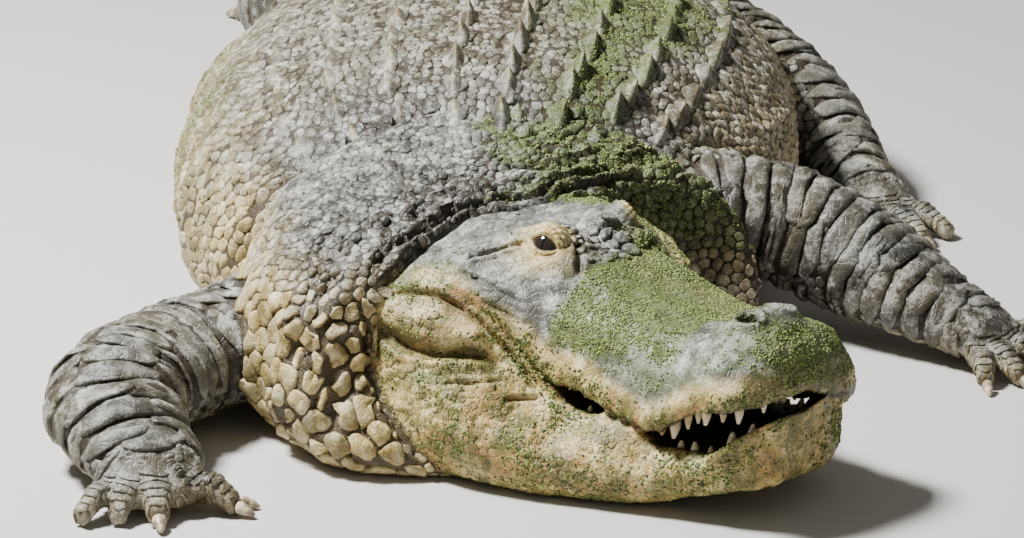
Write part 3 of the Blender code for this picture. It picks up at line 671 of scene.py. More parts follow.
def bodyPoint(y, degrees):
    lean = (at(backbone, y + 0.01) - at(backbone, y - 0.01)) / 0.02
    across = Vector((1.0, -lean, 0.0)).normalized()
    angle = math.radians(degrees)
    power = 2.05 if abs(degrees) <= 90 else 2.8
    side = math.copysign(abs(math.sin(angle)) ** (2 / power), math.sin(angle))
    up = math.copysign(abs(math.cos(angle)) ** (2 / power), math.cos(angle))
    halfWidth = at(girth, y)
    widest = at(widestHeight, y)
    reach = at(backHeight, y) - widest if abs(degrees) <= 90 else widest + gator["bellyFlat"]
    lift = gator["backLean"] * max(up, 0.0) * min(1.0, halfWidth / 0.3)
    point = Vector((at(backbone, y), y, widest + reach * up)) + across * (halfWidth * side + lift)
    point.z = max(point.z, 0.0)
    return point, across


scaleParts = ("sectors", "height", "keel", "tilt", "groove", "round", "rough")  # tilt lifts the rear edge
scaleKinds = {kind: dict(zip(scaleParts, values)) for kind, values in {
    "scute": (14, 0.0036, 0.004, 0.0016, 0.0018, 16, 0.0016),
    "keeled": (14, 0.0022, 0.014, 0.0012, 0.0018, 16, 0.0016),
    "nuchal": (14, 0.0030, 0.010, 0.0010, 0.0022, 9, 0.0016),
    "tailPlate": (10, 0.0022, 0.0015, 0.0014, 0.0018, 14, 0.0006),
    "wrinkle": (7, 0.0017, 0.0, 0.0006, 0.0011, 12, 0.0012),
    "shield": (14, 0.0044, 0.0, 0.0004, 0.0013, 20, 0.0004),
    "pebble": (8, 0.0026, 0.0, 0.0010, 0.0010, 12, 0.0010),
    "flank": (9, 0.0030, 0.0012, 0.0008, 0.0010, 13, 0.0014),
    "band": (18, 0.0030, 0.0, 0.0014, 0.0010, 22, 0.0007),
    "belly": (8, 0.0018, 0.0, 0.0004, 0.0016, 14, 0.0002),
    "digit": (10, 0.0016, 0.0, 0.0010, 0.0006, 18, 0.0002),
    "knob": (12, 0.0068, 0.0, 0.0, 0.0010, 6, 0.0012),
    "grain": (7, 0.0010, 0.0, 0.0, 0.0010, 10, 0.0004),
}.items()}


blades = {"tallest": 0.028, "long": 0.048, "wide": 0.0095, "sectors": 14,
          "rings": ((1.0, -0.12), (0.87, 0.20), (0.68, 0.48), (0.46, 0.74), (0.22, 0.93), (0.0, 1.0)),
          "place": [], "normal": [], "lie": [], "tall": [], "length": [], "chart": []}


def addBlade(tree, point, lie, tall, length, chart):
    place, normal, _, _ = tree.find_nearest(point)
    for name, value in zip(("place", "normal", "lie", "tall", "length", "chart"),
                           (tuple(place), tuple(normal), lie, tall, length, chart)):
        blades[name].append(value)


def seedBack(points, normals, region):  # the finely wrinkled hide between the keels
    x, y, z = points.T
    keep = (region == trunk) & (z > 0.285) & (y < 0.60) & (y > -0.60)
    tree = treeAt(blades["place"])
    for i in np.nonzero(keep)[0]:
        keep[i] = tree.find(points[i].tolist())[2] > 0.024
    size = 0.0112 + 0.0008 * noise(points, 0.05, 45)
    for i in scatter(points, keep, size, 44):
        addSeed("wrinkle", tuple(points[i]), tuple(normals[i]), (0.25 * math.sin(y[i] * 30), 1, 0),
                size[i] * 0.92, size[i] * 0.60, (y[i], x[i] * 200), trunk)


bodyRows = {
    "backStart": -0.535, "backStep": 0.072, "tailRoot": 0.60,
    "singleCrest": 1.40,  # the crest is double before it
    "flankStart": -0.57, "flankTail": 0.66, "flankEnd": 2.39, "bellyLength": 0.039, "bellyWidth": 0.045,
    "crestStart": 0.66, "crestStep": 0.075, "crestCount": 23,
    # Up to a place: the rows of keels on each side, and the angle where the flank's scales begin.
    "keelRows": ((0.60, 4), (0.70, 3), (1.0, 2), (9.0, 1)),
    "flankAngles": ((0.58, 50.0), (0.68, 40.0), (1.0, 28.0), (1.40, 14.0), (9.0, 6.0)),
}


def upTo(steps, place):
    return next(value for end, value in steps if place < end)


def seedBody(skinTree, owner):
    random.seed(5)
    # Keeled rows along the back and the first half of the tail.
    y = bodyRows["backStart"]
    while y < bodyRows["singleCrest"]:
        angles = keelAngles[:upTo(bodyRows["keelRows"], y)]
        halfWidth = float(at(girth, y))
        for i, angle in enumerate(angles):
            for turn in (-1, 1):
                shift = 0.018 if i % 2 else 0.0
                point, _ = bodyPoint(y + shift + random.uniform(-0.004, 0.004), angle * turn)
                kind = "scute" if i == 0 and y > -0.48 else "keeled"
                wide = min(0.056, halfWidth * 0.14)
                if y > bodyRows["tailRoot"]:
                    placeSeed(skinTree, owner, kind, point, (0, 1, 0), 0.037, wide, (y, angle * turn))
                    continue
                tall = (blades["tallest"] * (1 - 0.5 * min(1.0, angle / 45)) * random.uniform(0.75, 1.1)
                        * (0.72 if turn < 0 else 1.0))
                tall *= float(ease(-0.62, -0.42, y)) * 0.6 + 0.4
                placeSeed(skinTree, owner, "scute", point, (0, 1, 0), 0.033, 0.021, (y, angle * turn))
                addBlade(skinTree, point, (0, 1, 0), tall, blades["long"] * random.uniform(0.75, 1.05),
                         (y, angle * turn))
        y += bodyRows["backStep"]
    # Flanks and belly in closer rows.
    y = bodyRows["flankStart"]
    row = 0
    while y < bodyRows["flankEnd"]:
        halfWidth = max(float(at(girth, y)), 0.02)
        onTail = y > bodyRows["flankTail"]
        low = upTo(bodyRows["flankAngles"], y)
        high = 0.0135 if not onTail else 0.030 * max(0.4, halfWidth / 0.25)
        wide = 0.022 if not onTail else 0.034 * max(0.4, halfWidth / 0.25)
        angle = low + (row % 2) * 0.5 * math.degrees(wide / halfWidth)
        while angle < 108:
            for turn in (-1, 1):
                shake = 0.0 if onTail else 0.004
                round_ = angle + math.degrees(random.uniform(-shake, shake) / halfWidth)
                point, _ = bodyPoint(y + random.uniform(-shake, shake), round_ * turn)
                kind = "tailPlate" if onTail else "flank"
                if not onTail and point.z > 0.287:
                    continue
                placeSeed(skinTree, owner, kind, point, (0, 1, 0), high * 0.56, wide * 0.56,
                          (y, angle * turn))
            angle += math.degrees(wide / halfWidth)
        if onTail or row % 3 == 0:
            wide = bodyRows["bellyWidth"] if not onTail else wide * 1.2
            long = bodyRows["bellyLength"] if not onTail else high
            angle += 0.3 * math.degrees(wide / halfWidth)
            while angle < 180:
                for turn in (-1, 1):
                    point, _ = bodyPoint(y, angle * turn)
                    placeSeed(skinTree, owner, "belly", point, (0, 1, 0), long * 0.54, wide * 0.54,
                              (y, angle * turn))
                angle += math.degrees(wide / halfWidth) * 0.8
        y += high
        row += 1
    # Crest of the tail.
    for i in range(bodyRows["crestCount"]):
        y = bodyRows["crestStart"] + (i + 0.55) * bodyRows["crestStep"]
        spread, crest = float(at(crestSpread, y)), float(at(crestHeight, y))
        for turn in ((-1, 1) if y < bodyRows["singleCrest"] else (1,)):
            _, across = bodyPoint(y, 0.0)
            for share in (0.25, 0.75):
                for face in (-1, 1):
                    spot = Vector((float(at(backbone, y)), y, float(at(backHeight, y)) + crest * share))
                    spot += across * (turn * spread + face * 0.01)
                    placeSeed(skinTree, owner, "tailPlate", spot, (0, 1, 0), 0.034, 0.5 * crest * 0.6 + 0.004,
                              (y, turn * 3.0 + face), (tail,), 0.03)


def placeSeed(tree, owner, kind, point, lie, along, across, chart, regions=(trunk, tail), reach=0.022,
              bend=0.0):
    place, normal, face, gap = tree.find_nearest(point)
    if gap > reach or place.z < 0.003:
        return False
    regionHere = owner[face]
    if regionHere not in regions:
        return False
    addSeed(kind, tuple(place), tuple(normal), lie, along, across, chart, regionHere, bend)
    return True


neckShape = {
    "start": (-0.02, -0.43),
    "endBack": 0.925,
    "right": [(0.0, 0.18), (0.28, 0.285), (0.5, 0.295), (0.66, 0.310), (0.79, 0.322), (0.89, 0.320),
              (0.96, 0.300), (1.0, 0.262)],
    "left": [(0.0, 0.18), (0.28, 0.345), (0.5, 0.372), (0.66, 0.358), (0.79, 0.305), (0.89, 0.262),
             (0.96, 0.242), (1.0, 0.220)],
    "top": [(0.0, 0.26), (0.28, 0.318), (0.5, 0.306), (0.79, 0.290), (0.89, 0.282), (0.96, 0.268),
            (1.0, 0.246)],
    "widest": 0.115,
    "jowlReach": 0.13,
    "foldReach": 0.12,
    "napeReach": 0.022,
}


def neckPoint(place, degrees):
    shape = neckShape
    end = Vector(gator["eyesMiddle"]) + ahead.xy * (gator["eyeBack"] - shape["endBack"]) * gator["headLength"]
    start = Vector(shape["start"])
    pull = (end - start).length * 0.4
    before, after = start - Vector((0, pull)), end - ahead.xy * pull
    rest = 1 - place
    centre = start * rest**3 + before * 3 * rest**2 * place + after * 3 * rest * place**2 + end * place**3
    turn = gator["headTurn"] * place
    across = Vector((math.cos(turn), math.sin(turn), 0.0))
    forwards = Vector((math.sin(turn), -math.cos(turn), 0.0))
    angle = math.radians(degrees)
    power = 2.2 if abs(degrees) <= 90 else 4.5
    side = math.copysign(abs(math.sin(angle)) ** (2 / power), math.sin(angle))
    up = math.copysign(abs(math.cos(angle)) ** (2 / power), math.cos(angle))
    halfWidth = at(shape["left"] if side > 0 else shape["right"], place)
    top = at(shape["top"], place)
    height = shape["widest"] + (top - shape["widest"] if up > 0 else shape["widest"] + 0.012) * up
    height = max(height, 0.0)
    reach = (shape["jowlReach"] * max(0.0, 1 - height / 0.13)
             + shape["napeReach"] * max(0.0, (height - 0.20) / 0.05))
    swell = math.cos(min(abs(place - 0.5) / 0.35, 1.0) * math.pi / 2) ** 2
    reach = reach * place**3 + shape["foldReach"] * max(side, 0.0) ** 2 * swell
    point = Vector((centre.x, centre.y, height)) + across * halfWidth * side + forwards * reach
    return point, forwards


nuchals = (  # keeled plates on the nape: share along the neck, degrees round, half size
    (0.16, -9, 0.030), (0.16, 8, 0.030), (0.30, -5, 0.026), (0.30, 10, 0.028),
    (0.20, -24, 0.022), (0.22, 24, 0.022), (0.46, -14, 0.016), (0.44, 12, 0.018),
)


def seedNeck(skinTree, owner):
    random.seed(8)
    for place, angle, size in nuchals:
        point, forwards = neckPoint(place, angle)
        placeSeed(skinTree, owner, "nuchal", point, tuple(-forwards), size, size * 0.9,
                  (-0.6 - place * 0.5, angle), (neck, trunk), 0.04)


def limbRing(key, place):
    path = limbs[key]
    centres = [Vector(ring[0]) for ring in path]
    lengths = running([(b - a).length for a, b in zip(centres, centres[1:])])
    i = min(max(int(np.searchsorted(lengths, place)) - 1, 0), len(centres) - 2)
    share = (place - lengths[i]) / (lengths[i + 1] - lengths[i])
    first = (centres[min(i + 1, len(centres) - 1)] - centres[max(i - 1, 0)]).normalized()
    second = (centres[min(i + 2, len(centres) - 1)] - centres[i]).normalized()
    direction = first.lerp(second, share).normalized()
    across = direction.cross(Vector((0, 0, 1))).normalized()
    wide = path[i][1] * (1 - share) + path[i + 1][1] * share
    high = path[i][2] * (1 - share) + path[i + 1][2] * share
    return centres[i].lerp(centres[i + 1], share), direction, across, across.cross(direction), wide, high


def seedLimbs(skinTree, owner):
    random.seed(12)
    for key in limbs:
        edges = bandEdges[key]
        for row in range(len(edges) - 1):
            place = (edges[row] + edges[row + 1]) / 2
            centre, direction, across, up, wide, high = limbRing(key, place)
            long = edges[row + 1] - edges[row]
            angle = -2.1 + random.uniform(0, 0.25)
            while angle < 2.0:  # broad plates over the top
                size = random.uniform(0.075, 0.150)
                step = size / ((wide + high) / 2)
                middle = angle + step / 2
                point = centre + across * wide * math.sin(middle) + up * high * math.cos(middle)
                placeSeed(skinTree, owner, "band", point, tuple(direction), long * 0.58, size * 0.56,
                          (place, math.degrees(middle)), (limb, foot), 0.03, 2 / (wide + high))
                angle += step
            while angle < 4.1:  # smaller ones beneath
                for part in (0.25, 0.75):
                    spot = edges[row] + long * part
                    point = (limbRing(key, spot)[0] + across * wide * math.sin(angle)
                             + up * high * math.cos(angle))
                    placeSeed(skinTree, owner, "pebble", point, tuple(direction), long * 0.28, 0.010,
                              (spot, math.degrees(angle)), (limb, foot), 0.03)
                angle += 0.020 / ((wide + high) / 2)


def digitLines():
    for key, (turn, palm, halfWidth, digits) in feet.items():
        def level(degrees):
            angle = math.radians(degrees)
            return Vector((math.sin(angle), -math.cos(angle), 0.0))
        heading = level(turn)
        knuckles = Vector(limbs[key][-1][0]) + heading * palm
        for fan, length, radius in digits:
            direction = level(turn + fan)
            offset = direction - heading * direction.dot(heading)
            base = knuckles - heading * 0.018 + offset * halfWidth * 0.95
            base.z = 0.024
            yield base, direction, length, radius


def seedFeet(skinTree, owner):
    random.seed(17)
    for base, direction, length, radius in digitLines():
        across = Vector((-direction.y, direction.x, 0.0))
        step = 0.0095
        for row in range(int((length + 0.004) / step)):
            share = (row + 0.5) * step / length
            size = radius * (1.1 - 0.44 * share)
            centre = base + direction * length * share
            centre.z = max(0.024 + 0.009 * (1 - abs(2 * share - 1)) - 0.012 * share, size * 0.9)
            for angle in (-1.55, 0.0, 1.55):
                point = centre + across * size * math.sin(angle) + Vector((0, 0, size * math.cos(angle)))
                placeSeed(skinTree, owner, "digit", point, tuple(direction), step * 0.58, size * 0.86,
                          (share, math.degrees(angle)), (foot,), 0.012, 0.9 / size)


def sampled(points, normals, corners, region, spacing, seed):  # points spread evenly over part of the skin
    random_ = np.random.default_rng(seed)
    a, b, c = (points[corners[:, k]] for k in range(3))
    expected = np.linalg.norm(np.cross(b - a, c - a), axis=1) / 2 / spacing**2 * (region[corners[:, 0]] > jaw)
    number = (expected + random_.random(len(corners))).astype(int)
    face = np.repeat(np.arange(len(corners)), number)
    u, v = random_.random((2, len(face)))
    flip = u + v > 1
    u, v = np.where(flip, 1 - u, u)[:, None], np.where(flip, 1 - v, v)[:, None]
    spots = a[face] + (b[face] - a[face]) * u + (c[face] - a[face]) * v
    return spots, normals[corners[face, 0]], region[corners[face, 0]]


def scatter(points, keep, spacing, seed):  # points of a surface no closer together than spacing, at random
    order = np.nonzero(keep)[0]
    if len(order) == 0:
        return []
    np.random.default_rng(seed).shuffle(order)
    taken, chosen = {}, []
    size = float(spacing[order].max())
    near = [(x, y, z) for x in (-1, 0, 1) for y in (-1, 0, 1) for z in (-1, 0, 1)]
    cellOf = (points // size).astype(int).tolist()
    places, gaps = points.tolist(), spacing.tolist()
    for i in order.tolist():
        px, py, pz = places[i]
        gap = gaps[i]
        cx, cy, cz = cellOf[i]
        clear = True
        for dx, dy, dz in near:
            for x, y, z, other in taken.get((cx + dx, cy + dy, cz + dz), ()):
                reach = (gap + other) / 2
                if (px - x) ** 2 + (py - y) ** 2 + (pz - z) ** 2 < reach * reach:
                    clear = False
                    break
            if not clear:
                break
        if clear:
            taken.setdefault((cx, cy, cz), []).append((px, py, pz, gap))
            chosen.append(i)
    return chosen


def addSpots(kind, keep, seed, points, normals, size, shape, region):
    back, side, _ = headPlace(points)
    for i in scatter(points, keep, size, seed):
        addSeed(kind, tuple(points[i]), tuple(normals[i]), tuple(-ahead), size[i] * shape[0],
                size[i] * shape[1], (back[i], side[i] * 200), region)


def seedHead(points, normals, region):
    back, side, height = headPlace(points)
    lip = lipAt(back, side)
    onJaw = (region == jaw) & (height < lip - openingAt(back, side) - 0.012) & (height > 0.006)
    # Small grains over the jaw and cheek, larger towards the throat.
    size = 0.0075 + 0.005 * ease(0.55, 0.9, back) + 0.003 * ease(0.08, 0.02, height)
    keep = onJaw & (normals[:, 2] > -0.8) & (back > 0.12)
    addSpots("grain", keep, 31, points, normals, size, (0.55, 0.5), jaw)
    onTemple = (region == head) & (back > 0.68) & (height > lip + 0.03)
    size = np.full(len(points), 0.010)
    addSpots("grain", onTemple, 32, points, normals, size, (0.55, 0.5), head)
    # Bony beads on the forehead, largest beside the far eye.
    size = 0.0115 + 0.009 * bump(side - 0.040, 0.03)
    onBrow = ((region == head) & (np.abs(back - 0.615) < 0.06) & (side > -0.045) & (side < 0.085)
              & (height > lip + 0.06))
    addSpots("knob", onBrow, 33, points, normals, size, (0.5, 0.5), head)


def treeAt(places):
    tree = kdtree.KDTree(len(places))
    for i, p in enumerate(places):
        tree.insert(p, i)
    tree.balance()
    return tree


def evened(places, points, rounds):  # each place moves to the middle of the points that are nearest to it
    for _ in range(rounds):
        tree = treeAt(places)
        owner = np.array([tree.find(p)[1] for p in points.tolist()])
        share = np.maximum(np.bincount(owner, minlength=len(places)), 1)
        places = np.stack([np.bincount(owner, points[:, k], len(places)) / share for k in range(3)], axis=1)
    return places


def neckSize(places):
    x, _, z = places.T
    lower = ease(0.235, 0.150, z) * ease(0.10, -0.01, x)
    return 0.0105 + 0.0155 * lower + 0.002 * ease(0.0, 0.2, x), lower


def scatterNeck(points, region, tree):  # rounded shields on the jowl, finer scales up to the nape
    size, _ = neckSize(points)
    others = treeAt(seeds["place"])
    keep = (region == neck) & (points[:, 2] > 0.004)
    for i in np.nonzero(keep)[0]:
        _, seed, gap = others.find(points[i].tolist())
        keep[i] = gap > seeds["along"][seed] * 0.85 + size[i] * 0.45
    places = points[scatter(points, keep, size * 0.92, 40)]
    places = evened(places, points[keep], 4)
    size, lower = neckSize(places)
    for i, spot in enumerate(places):
        place, normal, _, _ = tree.find_nearest(spot.tolist())
        turn = gator["headTurn"] * float(ease(-0.45, -0.85, spot[1]))
        lie = (-math.sin(turn), math.cos(turn), 0.0)
        kind = "shield" if lower[i] > 0.4 else "pebble"
        addSeed(kind, tuple(place), tuple(normal), lie, size[i] * 0.78, size[i] * 0.82,
                (-0.9 + spot[1] * 0.2, spot[0] * 200), neck)


def fillBare(points, normals, region):  # small scales wherever the rows leave the hide bare
    tree = treeAt(seeds["place"])
    reach = np.array([max(a, b) for a, b in zip(seeds["along"], seeds["across"])])
    bare = np.zeros(len(points), bool)
    for i in np.nonzero(np.isin(region, (neck, trunk, tail, limb, foot)) & (points[:, 2] > 0.004))[0]:
        _, seed, gap = tree.find(points[i].tolist())
        bare[i] = gap > reach[seed] * 1.15 + 0.003
    size = np.where(region == foot, 0.0075, 0.0135)
    for i in scatter(points, bare, size, 41):
        lie = (0, 1, 0) if abs(normals[i][1]) < 0.9 else (0, 0, 1)
        addSeed("pebble", tuple(points[i]), tuple(normals[i]), lie, size[i] * 0.56, size[i] * 0.56,
                (points[i][1], points[i][0] * 200), region[i])


chartBoxes = {  # each region's box on the OFBake map: corner, width, height
    head: (0.0, 0.75, 0.5, 0.25), jaw: (0.5, 0.75, 0.5, 0.25),
    limb: (0.0, 0.5, 0.5, 0.25), foot: (0.5, 0.5, 0.5, 0.25),
    neck: (0.0, 0.0, 1.0, 0.5), trunk: (0.0, 0.0, 1.0, 0.5), tail: (0.0, 0.0, 1.0, 0.5),
}
coatSheets = []
bakePatch = 0.0015  # half the width of one scale or grain on the OFBake map
offFloor = 0.0002  # how far the scales and grains stay above the floor
plateFit = 1.07  # how far the plates fill out towards their neighbours
# The rings of a plate, (share of its width, share of its height), for small plates and for large ones.
plateRings = [[(1.0, -1.0), (0.93, 0.58), (0.64, 1.0)],
              [(1.0, -1.0), (0.965, 0.60), (0.86, 0.96), (0.46, 1.04)]]


def makePlates(skinTree):
    place = np.array(seeds["place"])
    normal = unit(np.array(seeds["normal"]))
    lie = np.array(seeds["lie"], float)
    lie = unit(lie - normal * np.sum(lie * normal, axis=1, keepdims=True))
    across = np.cross(normal, lie)
    along = np.array(seeds["along"])
    wide = np.array(seeds["across"])
    count = len(place)
    tree = treeAt(place.tolist())
    others = 14
    near = np.zeros((count, others), int)
    for i, p in enumerate(place.tolist()):
        near[i] = [hit[1] for hit in tree.find_n(p, others + 1) if hit[1] != i][:others]
    offset = place[near] - place[:, None]
    a = np.einsum("ijk,ik->ij", offset, lie) / along[:, None]
    bend = np.array(seeds["bend"])
    radius = 1 / np.maximum(bend, 1e-4)
    sideways = np.einsum("ijk,ik->ij", offset, across)
    arc = np.arctan2(sideways, radius[:, None] + np.einsum("ijk,ik->ij", offset, normal)) * radius[:, None]
    b = np.where(bend[:, None] > 0, arc, sideways) / wide[:, None]
    apart = np.maximum(a * a + b * b, 0.2)
    size = np.sqrt(along * wide)
    share = size[:, None] / (size[:, None] + size[near])
    kinds = np.array(seeds["kind"])
    regions = np.array(seeds["region"])
    charts = np.array(seeds["chart"])
    pick = np.random.default_rng(3).random(count)
    for kind, style in scaleKinds.items():
        members = np.nonzero(kinds == kind)[0]
        if len(members) == 0:
            continue
        long, broad, bow, spot, front, aside, up, own = (
            values[members][:, None] for values in (along, wide, radius, place, lie, across, normal, pick))
        small = np.minimum(1.0, size[members] / 0.012)[:, None]
        sectors = style["sectors"]
        turns = np.arange(sectors) * math.tau / sectors
        e = np.stack([np.cos(turns), np.sin(turns)])
        towards = ((a[members, :, None] * e[0] + b[members, :, None] * e[1])
                   / (apart[members] * share[members])[:, :, None])
        power = style["round"]
        reach = ((np.sum(np.maximum(towards, 0) ** power, axis=1) + (1 / 1.35) ** power) ** (-1 / power)
                 * (1.0 if kind == "band" else plateFit))
        rings = plateRings[sectors > 9]
        trim = 1 - np.clip(style["groove"] / 4 / (reach.mean(axis=1) * size[members]), 0, 0.45)
        points, heights, locals_, ringOf = [], [], [], []
        for ringIndex, (ringShare, lift) in enumerate(rings):
            u = reach * ringShare * trim[:, None] * np.cos(turns) * long
            v = reach * ringShare * trim[:, None] * np.sin(turns) * broad
            turned = v / bow
            sideways, fall = bow * np.sin(turned), bow * (np.cos(turned) - 1)
            points.append(spot + u[..., None] * front + sideways[..., None] * aside
                          + fall[..., None] * up)
            tall = style["height"] * lift * small + 0 * u
            rear = u / long
            if ringIndex > 0:
                ridge = np.exp(-np.abs(v / (0.17 * broad)) ** 1.3)
                tall = (tall + style["keel"] * ridge * ease(-1.1, 0.45, rear) * (1 - ease(0.42, 0.85, rear))
                        * (0.7 + 0.6 * own))
                tall = tall + style["tilt"] * rear
            heights.append(tall)
            locals_.append(np.stack([u / long, v / broad], axis=-1))
            ringOf.append(np.full(tall.shape, ringIndex / (len(rings) - 1)))
        points.append(spot)
        heights.append(style["height"] * small * 1.1 + style["keel"] * (0.7 + 0.6 * own))
        locals_.append(np.zeros((len(members), 1, 2)))
        ringOf.append(np.ones((len(members), 1)))
        points = np.concatenate(points, axis=1)
        heights = np.concatenate(heights, axis=1)
        locals_ = np.concatenate(locals_, axis=1)
        ringOf = np.concatenate(ringOf, axis=1)
        each = points.shape[1]
        flat = points.reshape(-1, 3)
        snapped = np.empty_like(flat)
        lean = np.empty_like(flat)
        for i, p in enumerate(flat.tolist()):
            snapped[i], lean[i] = skinTree.find_nearest(p)[:2]
        steady = np.where(bend[members] > 0, 0.0, 0.6).repeat(each)[:, None]
        lean = unit(steady * np.repeat(normal[members], each, axis=0) + (1 - steady) * lean)
        rough = style["rough"] * noise(snapped, 0.006, 41) + style["rough"] * 1.6 * noise(snapped, 0.018, 42)
        tall = heights.reshape(-1)
        inner = ringOf.reshape(-1) > 0
        final = snapped + lean * (tall + rough * inner)[:, None]
        final[:, 2] = np.maximum(final[:, 2], offFloor)
        roots = np.array([chartPlace(int(regions[i]), charts[i]) for i in members])
        coatPiece("scales_" + kind, final, (len(members), len(rings), sectors), roots, locals_,
                  ringOf.reshape(-1), np.repeat(regions[members], each), np.repeat(pick[members], each))


def chartPlace(region, chart):  # where a scale's root lies on the flat plan of the skin
    x, y, wide, high = chartBoxes[region]
    run, turn = chart
    low, top = (-1.15, 2.45) if region in (neck, trunk, tail) else (-0.1, 1.1)
    return (x + wide * min(max((run - low) / (top - low), 0.01), 0.99),
            y + high * (0.5 + 0.49 * min(max(turn / 180, -1), 1)))


def coatPiece(name, points, layout, roots, local, ring, region, pick, tip=None):
    count, rings, sectors = layout
    faces = []
    for k in range(sectors * (rings - 1)):
        low, m = k - k % sectors, (k + 1) % sectors
        faces.append((k, low + m, low + sectors + m, k + sectors))
    top = (rings - 1) * sectors
    faces += [(top + k, top + (k + 1) % sectors, rings * sectors) for k in range(sectors)]
    faces.append(tuple(reversed(range(sectors))))
    each = rings * sectors + 1
    index = (np.arange(count)[:, None] * each
             + np.concatenate([np.array(f) for f in faces])[None]).reshape(-1)
    sizes = np.tile([len(f) for f in faces], count)
    mesh = looseMesh(name, points, index, sizes)
    mesh.validate()
    mesh.shade_smooth()
    uvs = (roots[:, None] + bakePatch * local).reshape(-1, 2)
    mesh.uv_layers.new(name="OFBake").data.foreach_set("uv", uvs[index].astype(np.float32).ravel())
    marks = marksAt(points, region)
    if tip is not None:
        marks["cream"] = np.maximum(marks["cream"], tip)
        marks["moss"] = marks["moss"] * (1 - tip)
    # Painted shade: each plate's outer ring is drawn dark, as in the gaps between scales.
    marks["groove"] = np.maximum(marks["groove"], ease(0.44 if rings > 3 else 0.62, 0.0, ring))
    pick = 0.5 + 0.34 * (pick - 0.5) + marks.pop("light")
    for mark, values in marks.items():
        setMark(mesh, mark, values)
    setMark(mesh, "pick", pick)
    mesh.materials.append(hideFinish)
    coatSheets.append((points, triangleCorners(mesh), marks["moss"]))
    addPiece(name, mesh, "hide")
    stage(f"{name}: {count}, {sum(len(f) - 2 for f in faces) * count} triangles")


def makeBlades(tree):
    place = np.array(blades["place"])
    normal = unit(np.array(blades["normal"]))
    lie = np.array(blades["lie"], float)
    lie = unit(lie - normal * np.sum(lie * normal, axis=1, keepdims=True))
    across = np.cross(normal, lie)
    random_ = np.random.default_rng(14)
    tall, length = np.array(blades["tall"]), np.array(blades["length"])
    count, sectors = len(place), blades["sectors"]
    turns = np.arange(sectors) * math.tau / sectors
    lean = random_.normal(0, 0.10, count)
    points, local, ring, tip = [], [], [], []
    for share, rise in blades["rings"]:
        angle = turns if share else np.zeros(1)
        u = share * np.cos(angle)[None] * np.ones((count, 1)) + 0.34 * (1 - share)
        narrow = share**1.5 if share else 0.0
        v = (narrow * 1.35 * np.sin(angle))[None] * np.ones((count, 1))
        flat = (place[:, None] + (u * length[:, None])[..., None] * lie[:, None]
                + (v * blades["wide"])[..., None] * across[:, None])
        under = flat.reshape(-1, 3)
        down = np.array([tuple(tree.find_nearest(p)[0]) for p in under.tolist()]).reshape(flat.shape)
        wavy = 1 + 0.20 * noise(under, 0.012, 46).reshape(u.shape)
        high = rise * tall[:, None] * wavy
        points.append(down + normal[:, None] * high[..., None]
                      + across[:, None] * (lean[:, None] * np.maximum(high, 0))[..., None])
        local.append(np.stack([u, v], axis=-1) * 0.9)
        ring.append(np.full(u.shape, 1.0 if share < 0.9 else 0.4))
        tip.append(np.full(u.shape, float(ease(0.55, 1.0, rise))) * 0.28)
    each = sectors * 5 + 1
    roots = np.array([chartPlace(trunk, chart) for chart in blades["chart"]])
    coatPiece("scales_blade", np.concatenate(points, axis=1).reshape(-1, 3), (count, 5, sectors), roots,
              np.concatenate(local, axis=1), np.concatenate(ring, axis=1).reshape(-1),
              np.full(count * each, trunk), np.repeat(random_.random(count), each),
              np.concatenate(tip, axis=1).reshape(-1))


def setMark(mesh, name, values):
    mark = mesh.attributes.new(name, "FLOAT", "POINT")
    mark.data.foreach_set("value", np.ascontiguousarray(values, np.float32))


def most(*levels):
    return np.maximum.reduce(levels)


